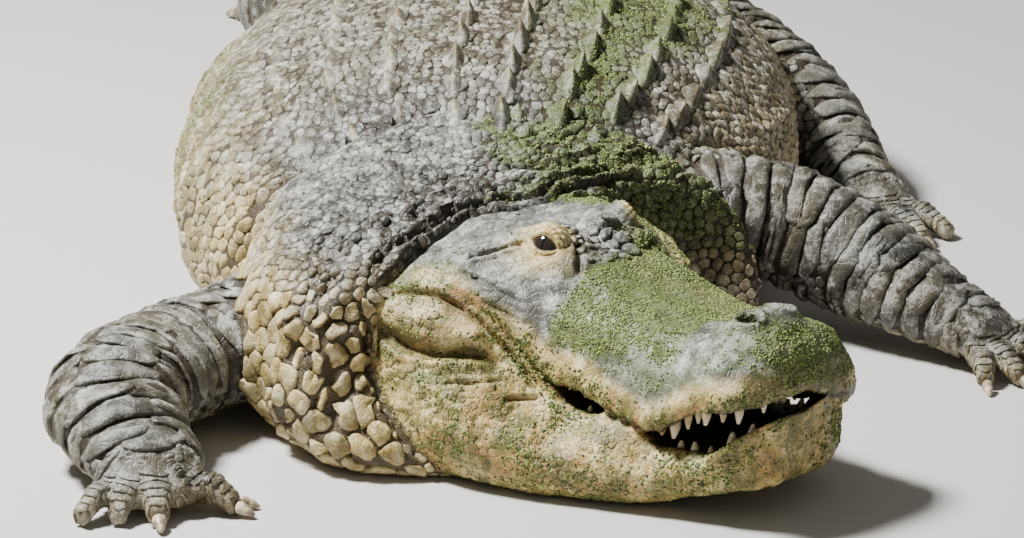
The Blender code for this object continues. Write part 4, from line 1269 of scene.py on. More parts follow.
def marksAt(points, region, normals=None):  # where the hide is cream, mossy or pitted, and where shade is painted dark
    x, y, z = points.T
    back, side, height = headPlace(points)
    lip = lipAt(back, side)
    over = height - lip
    onHead, onJaw = region == head, region == jaw
    wander = noise(points, 0.05, 51) * 0.5 + noise(points, 0.02, 52) * 0.3
    band = 1 - 0.45 * ease(0.55, 0.72, back)
    cream = onHead * ease(0.050, 0.020, over / band + 0.012 * wander) * ease(0.0, 0.1, back + 0.05)
    eyeRing = onHead * bump(np.hypot(side + 0.075, (back - 0.667) * 0.54), 0.035) * ease(0.23, 0.25, z) * 0.9
    jawCream = onJaw * (0.95 - 0.3 * ease(0.15, 0.21, z))
    fore = ease(-0.36, -0.56, y + 0.06 * wander)
    hind = ease(0.35, 1.05, y + 0.10 * wander)
    # The neck's left side gets less cream: painted shade on the side turned from the key light.
    neckCream = ease(0.26, 0.15, z + 0.03 * wander) * (0.62 - 0.34 * ease(0.10, 0.22, x))
    trunkCream = 0.08 + 0.34 * ease(0.31, 0.12, z + 0.04 * wander)
    tailCream = 0.05 + 0.5 * ease(0.11, 0.04, z)
    bodyCream = (trunkCream * (1 - fore) + neckCream * fore) * (1 - hind) + tailCream * hind
    limbCream = (region >= limb) * (0.05 + 0.12 * wander + 0.2 * ease(0.05, 0.02, z))
    cream = most(cream, eyeRing, jawCream, np.isin(region, (neck, trunk, tail)) * bodyCream, limbCream)
    moss = (onHead * ease(0.165, 0.195, z - 0.03 * (side < -0.08) * wander)
            * ease(0.68, 0.56, back + 0.06 * wander))
    inner = ease(0.195, 0.23, back + 0.05 * wander)
    farSide = ease(0.036, 0.052, side + 0.02 * wander)
    moss *= np.maximum(inner, farSide)
    bare = bump((back - 0.62) / 0.085, 1.0) * ease(0.045, 0.02, side + 0.02 * wander)
    moss *= 1 - ease(0.35, 0.7, bare)
    front = (ease(0.010, 0.022, over) * ease(0.110, 0.070, over) * ease(0.20, 0.10, back)
             * ease(-0.11, -0.03, side))
    sparse = onHead * ease(0.03, 0.06, over) * ease(0.72, 0.60, back) * (0.30 + 0.5 * wander) * (1 - bare)
    moss = most(
        moss,
        onHead * front * (0.72 + 0.5 * wander),
        np.clip(sparse, 0, 0.45),
        onHead * ease(0.055, 0.075, side + 0.02 * wander) * ease(0.2, 0.23, z) * ease(0.6, 0.7, back),
        (region == neck) * ease(0.10, 0.17, x + 0.08 * wander) * ease(0.13, 0.19, z + 0.04 * wander) * 0.9,
        (region == neck) * ease(0.0, 0.06, x + 0.1 * wander) * ease(0.25, 0.275, z) * 0.75,
        (region == trunk) * ease(0.05, 0.14, x + 0.12 * wander) * ease(0.29, 0.33, z + 0.05 * wander) * 0.75,
        (region == trunk) * bump((x + 0.40) / 0.05, 1.0) * 0.4 * ease(-0.2, 0.3, wander),
    )
    speckle = np.maximum(onHead * ease(0.045, 0.012, over), onJaw * 0.9)
    pale = (onHead * ease(0.020, 0.045, over) * ease(0.115, 0.075, over) * ease(0.72, 0.60, back)
            * ease(0.02, -0.02, side))
    light = 0.22 * pale - 0.17 * (region >= limb) - 0.05 * (region == trunk) * ease(0.20, 0.30, z)
    # Painted shade: the neck's left side, turned from the key light, is drawn darker.
    light = light - 0.10 * (region == neck) * ease(0.08, 0.18, x)
    # Painted shade in the folds' creases.
    shade = creaseShade(points)
    # Painted shade inside the nostril holes.
    for hole in nostrils():
        gap = np.hypot(x - hole.x, y - hole.y)
        shade = most(shade, onHead * ease(0.15, 0.20, z) * ease(0.0150, 0.0115, gap) * ease(0.240, 0.234, z))
    mouth = openingAt(back, side)
    # Painted shade along the mouth's line under the lip.
    shade = np.maximum(shade, onHead * ease(0.004, -0.002, over) * ease(0.55, 0.5, back))
    if normals is not None:
        # Painted shade on the palate and gums inside the mouth.
        down, up = -normals[:, 2], normals[:, 2]
        palateShade = onHead * ease(0.35, 0.7, down) * ease(0.018, 0.010, over) * ease(0.60, 0.52, back)
        gumShade = onJaw * ease(0.4, 0.7, up) * ease(-0.022, -0.014, over + mouth) * ease(0.60, 0.52, back)
        gumShade = gumShade * ease(0.0, -0.010, np.abs(side) - at(jawRimHalfWidth, back))
        shade = most(shade, palateShade, gumShade)
    # groove carries painted shade, not a colour of the hide.
    marks = {"cream": cream, "moss": moss, "speckle": speckle, "groove": shade}
    return {**{name: np.clip(level, 0, 1) for name, level in marks.items()}, "light": light}


# Finishes.

hideColours = {
    "darkGrey": (0.050, 0.048, 0.040),
    "mudGrey": (0.150, 0.148, 0.128),
    "paleMud": (0.39, 0.39, 0.355),
    "cream": (0.60, 0.42, 0.105),
    "paleCream": (0.73, 0.62, 0.31),
    "orange": (0.48, 0.25, 0.06),
    # painted shade: the dark drawn into creases, gaps between scales and hollows
    "crease": (0.026, 0.018, 0.011),
    "weed": (0.055, 0.080, 0.018),
    "weedShade": (0.12, 0.155, 0.040),
}


def wire(tree, value, socket):
    if isinstance(value, bpy.types.NodeSocket):
        tree.links.new(value, socket)
    elif isinstance(value, tuple) and len(value) == 3 and len(socket.default_value) == 4:
        socket.default_value = (*value, 1.0)
    else:
        socket.default_value = value


def blendColours(tree, share, first, second, way="MIX"):
    made = tree.nodes.new("ShaderNodeMix")
    made.data_type = "RGBA"
    made.blend_type = way
    wire(tree, share, made.inputs[0])
    wire(tree, first, made.inputs[6])
    wire(tree, second, made.inputs[7])
    return made.outputs[2]


def sums(tree, operation, first, second=0.5, clamp=False):
    made = tree.nodes.new("ShaderNodeMath")
    made.operation = operation
    made.use_clamp = clamp
    wire(tree, first, made.inputs[0])
    wire(tree, second, made.inputs[1])
    return made.outputs[0]


def times(tree, first, second):
    return sums(tree, "MULTIPLY", first, second)


def plus(tree, first, second):
    return sums(tree, "ADD", first, second)


def between(tree, value, low, high, first=0.0, second=1.0):
    made = tree.nodes.new("ShaderNodeMapRange")
    made.interpolation_type = "SMOOTHSTEP"
    for i, part in enumerate((value, low, high, first, second)):
        wire(tree, part, made.inputs[i])
    return made.outputs[0]


def mottle(tree, place, scale, detail=3.0, rough=0.55):
    made = tree.nodes.new("ShaderNodeTexNoise")
    made.inputs["Scale"].default_value = scale
    made.inputs["Detail"].default_value = detail
    made.inputs["Roughness"].default_value = rough
    tree.links.new(place, made.inputs["Vector"])
    return made.outputs["Fac"]


def cells(tree, place, scale, feature="F1"):
    made = tree.nodes.new("ShaderNodeTexVoronoi")
    made.feature = feature
    made.inputs["Scale"].default_value = scale
    tree.links.new(place, made.inputs["Vector"])
    return made.outputs["Distance"]


def newGroup(name, inputs, outputs):
    group = bpy.data.node_groups.new(name, "ShaderNodeTree")
    for label, kind in inputs:
        group.interface.new_socket(label, in_out="INPUT", socket_type=kind)
    for label, kind in outputs:
        group.interface.new_socket(label, in_out="OUTPUT", socket_type=kind)
    return group, group.nodes.new("NodeGroupInput"), group.nodes.new("NodeGroupOutput")


# Groove carries painted shade, drawn dark where shade would fall.
hideMarks = ("Cream", "Moss", "Speckle", "Groove", "Pick")  # the hide's attributes have these names in small


def makeHideGroup():
    inputs = [("Place", "NodeSocketVector")] + [(label, "NodeSocketFloat") for label in hideMarks]
    outputs = [("Colour", "NodeSocketColor"), ("Roughness", "NodeSocketFloat"), ("Height", "NodeSocketFloat")]
    group, given, out = newGroup("gatorHide", inputs, outputs)
    place = given.outputs["Place"]
    creamy, mossy, speckled, paintedShadeShare, picked = (given.outputs[label] for label in hideMarks)
    c = hideColours
    broad = mottle(group, place, 7.0, 4.0)
    fine = mottle(group, place, 42.0, 5.0, 0.65)
    grain = mottle(group, place, 260.0, 3.0, 0.6)
    grey = blendColours(group, between(group, plus(group, broad, times(group, fine, 0.6)), 0.62, 0.98),
                        c["darkGrey"], c["mudGrey"])
    dusty = between(group, plus(group, fine, times(group, grain, 0.5)), 0.70, 0.98)
    grey = blendColours(group, dusty, grey, c["paleMud"])
    creamTone = blendColours(group, between(group, fine, 0.35, 0.7), c["cream"], c["paleCream"])
    warm = times(group, speckled, between(group, mottle(group, place, 14.0, 3.0), 0.42, 0.66, 0.0, 0.85))
    creamTone = blendColours(group, warm, creamTone, c["orange"])
    share = times(group, creamy, between(group, plus(group, fine, grain), 0.72, 1.10, 0.45, 1.0))
    tone = blendColours(group, share, grey, creamTone)
    # Black pits and a thin green film on the lips and jaw.
    pits = times(group, between(group, cells(group, place, 240.0), 0.34, 0.16),
                 between(group, mottle(group, place, 55.0, 2.0), 0.44, 0.58))
    tone = blendColours(group, times(group, pits, times(group, speckled, 0.85)), tone, c["darkGrey"])
    film = between(group, plus(group, mottle(group, place, 26.0, 4.0, 0.7), times(group, grain, 0.55)), 0.68,
                   0.88)
    film = times(group, film, sums(group, "MAXIMUM", times(group, speckled, 0.88), times(group, mossy, 0.95)))
    tone = blendColours(group, film, tone, c["weed"])
    under = sums(group, "MULTIPLY", mossy, between(group, plus(group, fine, grain), 0.62, 0.95), clamp=True)
    tone = blendColours(group, times(group, under, 0.8), tone,
                        blendColours(group, grain, c["weed"], c["weedShade"]))
    shade = between(group, picked, 0.0, 1.0, 0.48, 1.48)
    tone = blendColours(group, 1.0, tone, shade, "MULTIPLY")
    # Painted shade: creases, gaps between scales, nostrils and the inside of the mouth are drawn dark.
    tone = blendColours(group, times(group, paintedShadeShare, 0.92), tone, c["crease"])
    rough = between(group, fine, 0.3, 0.75, 0.34, 0.66)
    cracks = cells(group, place, 95.0, "DISTANCE_TO_EDGE")
    height = plus(group, times(group, fine, 0.9), times(group, grain, 0.35))
    height = plus(group, height, times(group, between(group, cracks, 0.0, 0.12), 0.25))
    height = sums(group, "SUBTRACT", height, times(group, pits, times(group, speckled, 0.6)))
    group.links.new(tone, out.inputs["Colour"])
    group.links.new(rough, out.inputs["Roughness"])
    group.links.new(height, out.inputs["Height"])
    return group


def newFinish(name):
    made = bpy.data.materials.new(name)
    made.use_nodes = True
    tree = made.node_tree
    shader = tree.nodes["Principled BSDF"]
    place = tree.nodes.new("ShaderNodeTexCoord").outputs["Object"]
    return made, tree, shader, place


def addBump(tree, shader, height, depth, strength=1.0):
    made = tree.nodes.new("ShaderNodeBump")
    made.inputs["Strength"].default_value = strength
    made.inputs["Distance"].default_value = depth
    tree.links.new(height, made.inputs["Height"])
    tree.links.new(made.outputs["Normal"], shader.inputs["Normal"])


def attribute(tree, name):
    made = tree.nodes.new("ShaderNodeAttribute")
    made.attribute_name = name
    return made.outputs["Fac"]


def makeHideFinish(name, group, depth):
    made, tree, shader, place = newFinish(name)
    use = tree.nodes.new("ShaderNodeGroup")
    use.node_tree = group
    tree.links.new(place, use.inputs["Place"])
    for label in hideMarks:
        tree.links.new(attribute(tree, label.lower()), use.inputs[label])
    tree.links.new(use.outputs["Colour"], shader.inputs["Base Color"])
    tree.links.new(use.outputs["Roughness"], shader.inputs["Roughness"])
    shader.inputs["Specular IOR Level"].default_value = 0.35
    addBump(tree, shader, use.outputs["Height"], depth, 0.9)
    return made


mottledFinishes = {
    "tooth_enamel": {"scale": 60.0, "low": 0.35, "high": 0.7, "dark": (0.36, 0.26, 0.12),
                     "pale": (0.68, 0.60, 0.42),
                     "rough": 0.30, "bumpScale": 400.0, "bumpDepth": 0.0004, "bumpStrength": 0.5},
    "claw_horn": {"scale": 90.0, "low": 0.40, "high": 0.66, "dark": (0.20, 0.155, 0.10),
                  "pale": (0.60, 0.50, 0.33),
                  "rough": 0.42, "bumpScale": 300.0, "bumpDepth": 0.0005, "bumpStrength": 0.6},
}


def makeMottledFinish(name):
    look = mottledFinishes[name]
    made, tree, shader, place = newFinish(name)
    share = between(tree, mottle(tree, place, look["scale"], 3.0), look["low"], look["high"])
    tree.links.new(blendColours(tree, share, look["dark"], look["pale"]), shader.inputs["Base Color"])
    shader.inputs["Roughness"].default_value = look["rough"]
    addBump(tree, shader, mottle(tree, place, look["bumpScale"]), look["bumpDepth"], look["bumpStrength"])
    return made


hideGroup = makeHideGroup()
hideFinish = makeHideFinish("gator_hide", hideGroup, 0.0016)
skinFinish = makeHideFinish("gator_skin", hideGroup, 0.0018)
toothFinish = makeMottledFinish("tooth_enamel")
hornFinish = makeMottledFinish("claw_horn")

skin, fleshSurface, owners = makeSkin()
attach(skin, "root")
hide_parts(*flesh)
skin.data.materials.clear()
skin.data.materials.append(skinFinish)
skinPoints = numbers(skin.data.vertices, "co").astype(float)
skinCorners = triangleCorners(skin.data)
skinNormals = vertexNormals(skinPoints, skinCorners)
skinRegion = nearestRegion(skinPoints, fleshSurface, owners)
skinTree = treeOf(skin.data, skinPoints)
faceRegion = skinRegion[skinCorners[:, 0]]
stage("skin measured")

seedBody(skinTree, faceRegion)
spots = sampled(skinPoints, skinNormals, skinCorners, skinRegion, 0.0045, 30)
seedBack(*spots)
seedNeck(skinTree, faceRegion)
seedLimbs(skinTree, faceRegion)
seedFeet(skinTree, faceRegion)
seedHead(skinPoints, skinNormals, skinRegion)
scatterNeck(spots[0], spots[2], skinTree)
fillBare(*spots)
stage(f"{len(seeds['place'])} scale roots")
makePlates(skinTree)
makeBlades(skinTree)
marks = marksAt(skinPoints, skinRegion, skinNormals)
# Painted shade: the body's skin shows only in the gaps between scales, so it is drawn dark.
bodySkin = np.isin(skinRegion, (neck, trunk, tail, limb)).astype(float)
marks["groove"] = np.maximum(marks["groove"], bodySkin * 0.95)
for name in ("cream", "moss", "speckle", "groove"):
    setMark(skin.data, name, marks[name])
setMark(skin.data, "pick", 0.5 + marks["light"])


# Eyes and lids.

eyeShape = {
    "outwards": 0.73, "forwards": 0.30, "upwards": 0.48,  # where the eye looks, in the head's own directions
    "openLong": 50.0, "openHigh": 25.0,  # half the opening between the lids, in degrees
    "irisAngle": 46.0,  # the iris's edge, in degrees from the way the eye looks
    "slitWide": 0.085, "slitTall": 0.50,  # in eye radii
    "lidThick": 0.0042, "lidReach": 112.0, "lidAround": 96, "lidSteps": 26, "upperLid": 0.92,
}


def eyeAxes(turn):
    axis = (leftwards * turn * eyeShape["outwards"] + ahead * eyeShape["forwards"]
            + Vector((0, 0, eyeShape["upwards"]))).normalized()
    front = (ahead - axis * ahead.dot(axis)).normalized()
    above = axis.cross(front) * -turn
    return axis, front, above if above.z > 0 else -above


def makeEye(name, turn):
    centre = headPoint(gator["eyeBack"], turn * gator["eyeSide"], gator["eyeHeight"])
    axis, front, above = eyeAxes(turn)
    shape = bmesh.new()
    bmesh.ops.create_uvsphere(shape, u_segments=48, v_segments=32, radius=gator["eyeRadius"])
    turned = Matrix((front, above, front.cross(above))).transposed()
    if turned.col[2].dot(axis) < 0:
        bmesh.ops.scale(shape, vec=(1, 1, -1), verts=shape.verts)
        bmesh.ops.reverse_faces(shape, faces=shape.faces)
    bmesh.ops.rotate(shape, verts=shape.verts, matrix=turned)
    bmesh.ops.translate(shape, verts=shape.verts, vec=centre)
    bmesh.ops.recalc_face_normals(shape, faces=shape.faces)
    mesh = meshOf(shape, name, eyeFinish)
    local = (numbers(mesh.vertices, "co") - np.array(centre)) / gator["eyeRadius"]
    setMark(mesh, "gazeAcross", local @ np.array(front))
    setMark(mesh, "gazeUp", local @ np.array(above))
    setMark(mesh, "gazeOut", local @ np.array(axis))
    addPiece(name, mesh, "eye", "eye_left" if turn > 0 else "eye_right")


def makeLids(name, turn):
    centre = headPoint(gator["eyeBack"], turn * gator["eyeSide"], gator["eyeHeight"])
    axis, front, above = eyeAxes(turn)
    shape = bmesh.new()
    bmesh.ops.create_grid(shape, x_segments=eyeShape["lidAround"], y_segments=eyeShape["lidSteps"], size=0.5)
    for vert in shape.verts:
        share = vert.co.y + 0.5
        phi = (vert.co.x + 0.5) * math.tau
        opening = ((abs(math.cos(phi)) / eyeShape["openLong"]) ** 1.5
                   + (abs(math.sin(phi)) / eyeShape["openHigh"]) ** 1.5)
        opening = opening ** (-1 / 1.5)
        if math.sin(phi) > 0:
            opening *= eyeShape["upperLid"]
        swing = math.radians(opening * (1 - share) + eyeShape["lidReach"] * share)
        aside = front * math.cos(phi) + above * math.sin(phi)
        wrinkle = 0.0014 * math.sin(share * 34 + 1.3 * math.sin(phi * 2 + turn))
        wrinkle *= float(ease(0.06, 0.2, share))
        wrinkle *= float(ease(0.9, 0.6, share))
        wrinkle += 0.0006 * math.sin(phi * 17 + share * 9) * float(ease(0.05, 0.25, share))
        reach = gator["eyeRadius"] + 0.0004 + eyeShape["lidThick"] * float(ease(0.0, 0.09, share)) + wrinkle
        reach += 0.004 * float(ease(0.05, 0.35, share)) * max(0.0, math.sin(phi)) ** 0.5
        spot = centre + (axis * math.cos(swing) + aside * math.sin(swing)) * reach
        under, normal, _, _ = skinTree.find_nearest(spot)
        blend = float(ease(0.50, 0.95, share))
        vert.co = spot.lerp(under - normal * 0.0012 * share, blend)
    bmesh.ops.remove_doubles(shape, verts=shape.verts, dist=1e-5)
    bmesh.ops.recalc_face_normals(shape, faces=shape.faces)
    middle = sum((f.normal.dot((f.calc_center_median() - centre)) for f in shape.faces))
    if middle < 0:
        bmesh.ops.reverse_faces(shape, faces=shape.faces)
    mesh = meshOf(shape, name, skinFinish)
    points = numbers(mesh.vertices, "co").astype(float)
    offset = points - np.array(centre)
    outwards = unit(offset)
    swing = np.degrees(np.arccos(np.clip(outwards @ np.array(axis), -1, 1)))
    marks = marksAt(points, np.full(len(points), head))
    near = ease(75, 42, swing)
    waves = np.sin(swing * 0.36)
    setMark(mesh, "cream", np.maximum(marks["cream"], near * 0.95))
    setMark(mesh, "moss", marks["moss"] * (1 - near))
    setMark(mesh, "speckle", marks["speckle"])
    # Painted shade where the lids meet the eye and in the lids' folds.
    lidRimShade = ease(0.0026, 0.0010, np.linalg.norm(offset, axis=1) - gator["eyeRadius"]) * ease(60, 50, swing)
    lidFoldShade = 0.65 * near * ease(0.4, 0.9, -waves + 0.3 * noise(points, 0.004, 61))
    setMark(mesh, "groove", np.maximum(0.85 * lidRimShade, lidFoldShade))
    setMark(mesh, "pick", np.full(len(points), 0.5))
    addPiece(name, mesh, "hide")


def makeEyeFinish():
    made, tree, shader, place = newFinish("eye_gloss")
    across, up, out = (attribute(tree, "gazeAcross"), attribute(tree, "gazeUp"), attribute(tree, "gazeOut"))
    iris = between(tree, out, math.cos(math.radians(eyeShape["irisAngle"] + 4)),
                   math.cos(math.radians(eyeShape["irisAngle"])))
    wide = sums(tree, "POWER", sums(tree, "DIVIDE", sums(tree, "ABSOLUTE", across), eyeShape["slitWide"]),
                1.6)
    tall = sums(tree, "POWER", sums(tree, "DIVIDE", sums(tree, "ABSOLUTE", up), eyeShape["slitTall"]), 2.0)
    slit = between(tree, sums(tree, "ADD", wide, tall), 1.25, 0.85)
    flecks = blendColours(tree, mottle(tree, place, 900.0, 4.0), (0.006, 0.004, 0.003), (0.026, 0.017, 0.009))
    tone = blendColours(tree, iris, (0.020, 0.015, 0.010), flecks)
    tone = blendColours(tree, slit, tone, (0.002, 0.002, 0.002))
    tree.links.new(tone, shader.inputs["Base Color"])
    shader.inputs["Roughness"].default_value = 0.08
    shader.inputs["Coat Weight"].default_value = 1.0
    shader.inputs["Coat Roughness"].default_value = 0.03
    return made


eyeFinish = makeEyeFinish()
for sideName, turn in (("left", 1), ("right", -1)):
    makeEye("eyeball_" + sideName, turn)
    makeLids("eyelids_" + sideName, turn)
stage("eyes and lids made")


# Teeth: how far back, length, radius; the rows follow the lips on both sides.

toothRows = {
    "upper": [(0.010, 0.012, 0.0044), (0.034, 0.018, 0.0058), (0.066, 0.014, 0.0050), (0.096, 0.019, 0.0062),
              (0.130, 0.012, 0.0046),
              (0.165, 0.014, 0.0052), (0.200, 0.019, 0.0068), (0.238, 0.012, 0.0050), (0.268, 0.009, 0.0042)],
    "cheek": [(0.410, 0.008, 0.0040), (0.445, 0.010, 0.0048), (0.485, 0.008, 0.0042)],
    "lower": [(0.030, 0.013, 0.0048), (0.062, 0.018, 0.0062), (0.115, 0.009, 0.0044), (0.150, 0.012, 0.0050),
              (0.195, 0.009, 0.0044),
              (0.44, 0.007, 0.0036)],
}
toothShape = {"sides": 12, "tip": 0.32, "cuts": 5, "belly": 0.55, "flat": 0.86, "rooted": 0.004, "curl": 0.08}


def addTooth(shape, root, length, radius, direction, curl):
    tooth = bmesh.new()
    bmesh.ops.create_cone(tooth, cap_ends=True, segments=toothShape["sides"], radius1=radius,
                          radius2=radius * toothShape["tip"], depth=length)
    sides = [e for e in tooth.edges if abs(e.verts[0].co.z - e.verts[1].co.z) > length / 2]
    bmesh.ops.subdivide_edges(tooth, edges=sides, cuts=toothShape["cuts"], use_grid_fill=True)
    for vert in tooth.verts:
        share = vert.co.z / length + 0.5
        fuller = 1 + toothShape["belly"] * math.sin(math.pi * min(share * 0.9, 1.0)) * (1 - 0.3 * share)
        vert.co.x *= fuller
        vert.co.y *= fuller * toothShape["flat"]
        vert.co += Vector((0.0, 0.0, length / 2))
        vert.co.x += curl * length * share * share
    turn = Vector((0, 0, 1)).rotation_difference(direction).to_matrix().to_4x4()
    turn.translation = root
    bmesh.ops.transform(tooth, verts=tooth.verts, matrix=turn)
    mesh = meshOf(tooth, "tooth")
    shape.from_mesh(mesh)
    bpy.data.meshes.remove(mesh)


def makeTeeth(name, rows, turns, replaced):
    random.seed(len(name))
    shape = bmesh.new()
    for row in rows:
        for turn in turns:
            for back, length, radius in toothRows[row]:
                back += random.uniform(-0.006, 0.006)
                long = length * random.uniform(0.85, 1.12)
                if row == "lower":
                    side = float(at(jawRimHalfWidth, back)) - 0.012
                    root = headPoint(back + 0.012, turn * side,
                                     float(lipAt(back, turn * side) - openingAt(back, turn * side)) - 0.006)
                    direction = (Vector((0, 0, 1)) + leftwards * turn * 0.10 + ahead * 0.10).normalized()
                else:
                    side = float(at(snoutHalfWidth, back)) - 0.011
                    root = headPoint(back + 0.012, turn * side, float(lipAt(back, turn * side)) + 0.006)
                    direction = (Vector((0, 0, -1)) + leftwards * turn * 0.16 + ahead * 0.05).normalized()
                root = skinTree.find_nearest(root)[0] - direction * toothShape["rooted"]
                curl = random.uniform(-toothShape["curl"], toothShape["curl"])
                addTooth(shape, root, long + toothShape["rooted"], radius, direction, curl)
    addPiece(name, meshOf(shape, name, toothFinish), "tooth_ivory", *replaced)


makeTeeth("teeth_upper", ("upper",), (-1, 1), ["upper_teeth"])
makeTeeth("teeth_lower", ("lower",), (-1, 1), ["lower_teeth"])
makeTeeth("teeth_cheek_right", ("cheek",), (-1,), ["cheek_teeth_right"])
makeTeeth("teeth_cheek_left", ("cheek",), (1,), ["cheek_teeth_left"])
stage("teeth set")

for nodeName in [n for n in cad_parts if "claw" in n]:  # claws, rounder than their solids
    shape = bmesh.new()
    shape.from_mesh(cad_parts[nodeName].data)
    bmesh.ops.remove_doubles(shape, verts=shape.verts, dist=1e-6)
    mesh = meshOf(shape, "horn_" + nodeName, hornFinish)
    rounder = addPiece("horn_" + nodeName, mesh, "claw_horn", nodeName).modifiers.new("rounder", "SUBSURF")
    rounder.levels = rounder.render_levels = 2


# Water weed: small flat grains that dried on in patches.

weedShape = {
    "headGrains": 15000, "jawGrains": 15000, "bodyGrains": 26000, "small": 0.0011, "large": 0.0025,
    "narrow": 0.8, "flat": 0.60, "lean": 0.35,  # a grain's width and height by its length, and its lean
}


def scatterWeed(sheets, count, seed):
    random_ = np.random.default_rng(seed)
    places, normals, chances = [], [], []
    for points, corners, moss in sheets:
        a, b, c = (points[corners[:, k]] for k in range(3))
        area = np.linalg.norm(np.cross(b - a, c - a), axis=1)
        level = moss[corners].mean(axis=1)
        middle = (a + b + c) / 3
        uneven = noise(middle, 0.03, 71) * 1.1 + noise(middle, 0.011, 72) * 1.1
        patch = ease(-0.55, 0.25, uneven + (level - 0.80) * 1.2)
        chances.append(area * (level**1.5 * patch + 0.10 * ease(0.05, 0.5, level)))
    total = np.concatenate(chances)
    total = total / total.sum()
    picks = random_.choice(len(total), count, p=total)
    owner = np.concatenate([np.full(len(c), i) for i, c in enumerate(chances)])
    start = running([len(c) for c in chances])
    for k, (points, corners, moss) in enumerate(sheets):
        own = picks[owner[picks] == k] - start[k]
        a, b, c = (points[corners[own, j]] for j in range(3))
        u, v = random_.random((2, len(own), 1))
        flip = u + v > 1
        u, v = np.where(flip, 1 - u, u), np.where(flip, 1 - v, v)
        places.append(a + (b - a) * u + (c - a) * v)
        normals.append(unit(np.cross(b - a, c - a)))
    return np.concatenate(places), np.concatenate(normals)


def makeWeed(name, places, normals, seed, scale=1.0):
    random_ = np.random.default_rng(seed)
    grain = bmesh.new()
    bmesh.ops.create_uvsphere(grain, u_segments=5, v_segments=2, radius=1.0)
    bmesh.ops.triangulate(grain, faces=grain.faces)
    template = meshOf(grain, "grain")
    ball = numbers(template.vertices, "co").astype(float) * np.array([1, 1, weedShape["flat"]])
    corners = triangleCorners(template)
    bpy.data.meshes.remove(template)
    count = len(places)
    tilt = unit(normals + weedShape["lean"] * random_.normal(size=(count, 3)))
    side = unit(np.cross(tilt, random_.normal(size=(count, 3))))
    other = np.cross(tilt, side)
    size = random_.uniform(weedShape["small"], weedShape["large"], count)[:, None, None] * scale
    grains = ball[None, :, 0:1] * side[:, None] + ball[None, :, 1:2] * other[:, None] * weedShape["narrow"]
    grains = grains + ball[None, :, 2:3] * tilt[:, None]
    points = (places[:, None] + size * grains).reshape(-1, 3)
    points[:, 2] = np.maximum(points[:, 2], offFloor)
    index = (np.arange(count)[:, None, None] * len(ball) + corners[None]).reshape(-1)
    mesh = looseMesh(name, points, index, np.full(len(index) // 3, 3))
    mesh.shade_smooth()
    setMark(mesh, "pick", np.repeat(random_.random(count), len(ball)))
    root = np.stack([np.clip(0.5 + places[:, 0] * 0.5, 0, 1), np.clip(0.35 - places[:, 1] * 0.3, 0, 1)],
                    axis=1)
    uv = root[:, None] + bakePatch * ball[None, :, :2]
    mesh.uv_layers.new(name="OFBake").data.foreach_set("uv",
                                                       uv.reshape(-1, 2)[index].astype(np.float32).ravel())
    mesh.materials.append(weedFinish)
    addPiece(name, mesh, "hide")


def makeWeedFinish():
    made, tree, shader, place = newFinish("dried_weed")
    pick = attribute(tree, "pick")
    tone = blendColours(tree, between(tree, pick, 0.1, 0.95), (0.038, 0.056, 0.010), (0.25, 0.295, 0.066))
    tone = blendColours(tree, between(tree, mottle(tree, place, 9.0, 3.0), 0.52, 0.72, 0.0, 0.6), tone,
                        (0.15, 0.135, 0.045))
    tree.links.new(tone, shader.inputs["Base Color"])
    shader.inputs["Roughness"].default_value = 0.7
    addBump(tree, shader, mottle(tree, place, 700.0), 0.0004, 0.5)
    return made


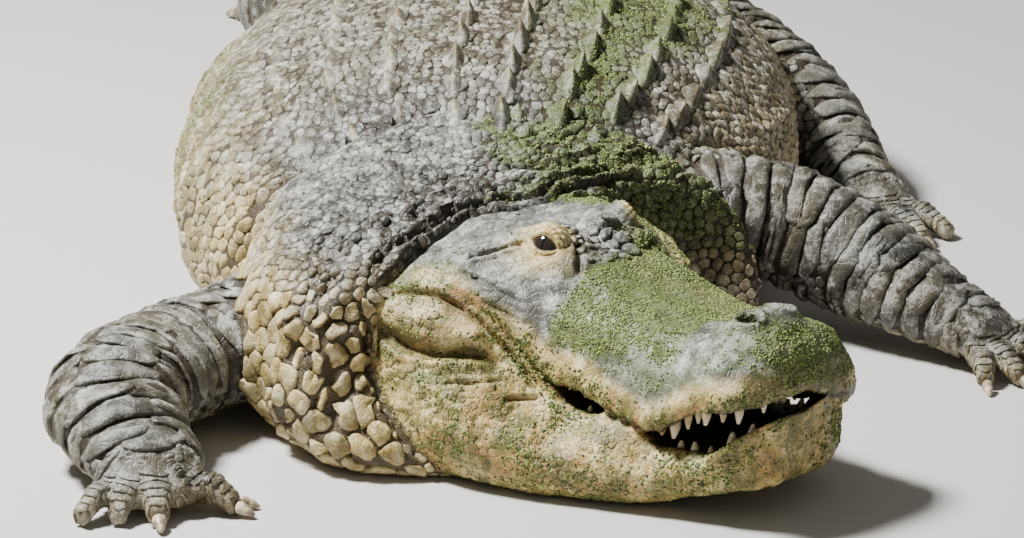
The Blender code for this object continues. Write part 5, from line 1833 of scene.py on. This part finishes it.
weedFinish = makeWeedFinish()
onHeads = skinRegion <= jaw
places, normals = scatterWeed([(skinPoints, skinCorners, marks["moss"] * onHeads)], weedShape["headGrains"],
                              81)
makeWeed("weed_head", places, normals, 82)
film = (marks["speckle"] * onHeads * (1 - marks["moss"]) * (1 - marks["groove"])
        * np.clip(0.6 + 0.9 * noise(skinPoints, 0.045, 86), 0, 1))
places, normals = scatterWeed([(skinPoints, skinCorners, film)], weedShape["jawGrains"], 87)
makeWeed("weed_jaw", places, normals, 88, 1.15)
places, normals = scatterWeed(coatSheets + [(skinPoints, skinCorners, marks["moss"] * ~onHeads * 0.5)],
                              weedShape["bodyGrains"], 83)
half = len(places) // 2
order = np.random.default_rng(9).permutation(len(places))
for number, part in enumerate((order[:half], order[half:])):
    makeWeed(f"weed_body_{number + 1}", places[part], normals[part], 84 + number)
stage("weed scattered")


# Floor, light and view.

stageLook = {
    "floorTone": (0.50, 0.48, 0.45), "keyPower": 640.0, "keySize": 0.75, "keyPlace": (-2.0, -0.6, 3.6),
    "fill": 0.22, "fillTone": (1.0, 0.985, 0.96), "floorSize": 60, "keyAim": (0.0, -0.6, 0.0), "sensor": 36,
    "lens": 165.7, "distance": 5.7, "rise": 18.5, "aim": (0.032, -0.885, 0.2245),
}

floorShape = bmesh.new()
bmesh.ops.create_grid(floorShape, x_segments=1, y_segments=1, size=stageLook["floorSize"])
floorMesh = meshOf(floorShape, "floor")
floorFinish, _, floorShader, _ = newFinish("floor_paint")
floorShader.inputs["Base Color"].default_value = (*stageLook["floorTone"], 1.0)
floorShader.inputs["Roughness"].default_value = 0.8
floorMesh.materials.append(floorFinish)
addObject("floor", floorMesh)

key = bpy.data.objects.new("key", bpy.data.lights.new("key", "AREA"))
key.data.energy = stageLook["keyPower"]
key.data.size = stageLook["keySize"]
key.location = stageLook["keyPlace"]
key.rotation_euler = (Vector(stageLook["keyAim"]) - key.location).to_track_quat("-Z", "Y").to_euler()
bpy.context.scene.collection.objects.link(key)

world = bpy.data.worlds.new("soft_room")
bpy.context.scene.world = world
world.use_nodes = True
world.node_tree.nodes["Background"].inputs[0].default_value = (*stageLook["fillTone"], 1.0)
world.node_tree.nodes["Background"].inputs[1].default_value = stageLook["fill"]

camera = bpy.data.objects.new("camera", bpy.data.cameras.new("camera"))
bpy.context.scene.collection.objects.link(camera)
camera.data.lens = stageLook["lens"]
camera.data.sensor_width = stageLook["sensor"]
rise = math.radians(stageLook["rise"])
camera.location = (Vector(stageLook["aim"]) - Vector((0.0, math.cos(rise), -math.sin(rise)))
                   * stageLook["distance"])
camera.rotation_euler = (math.pi / 2 - rise, 0.0, 0.0)
bpy.context.scene.camera = camera
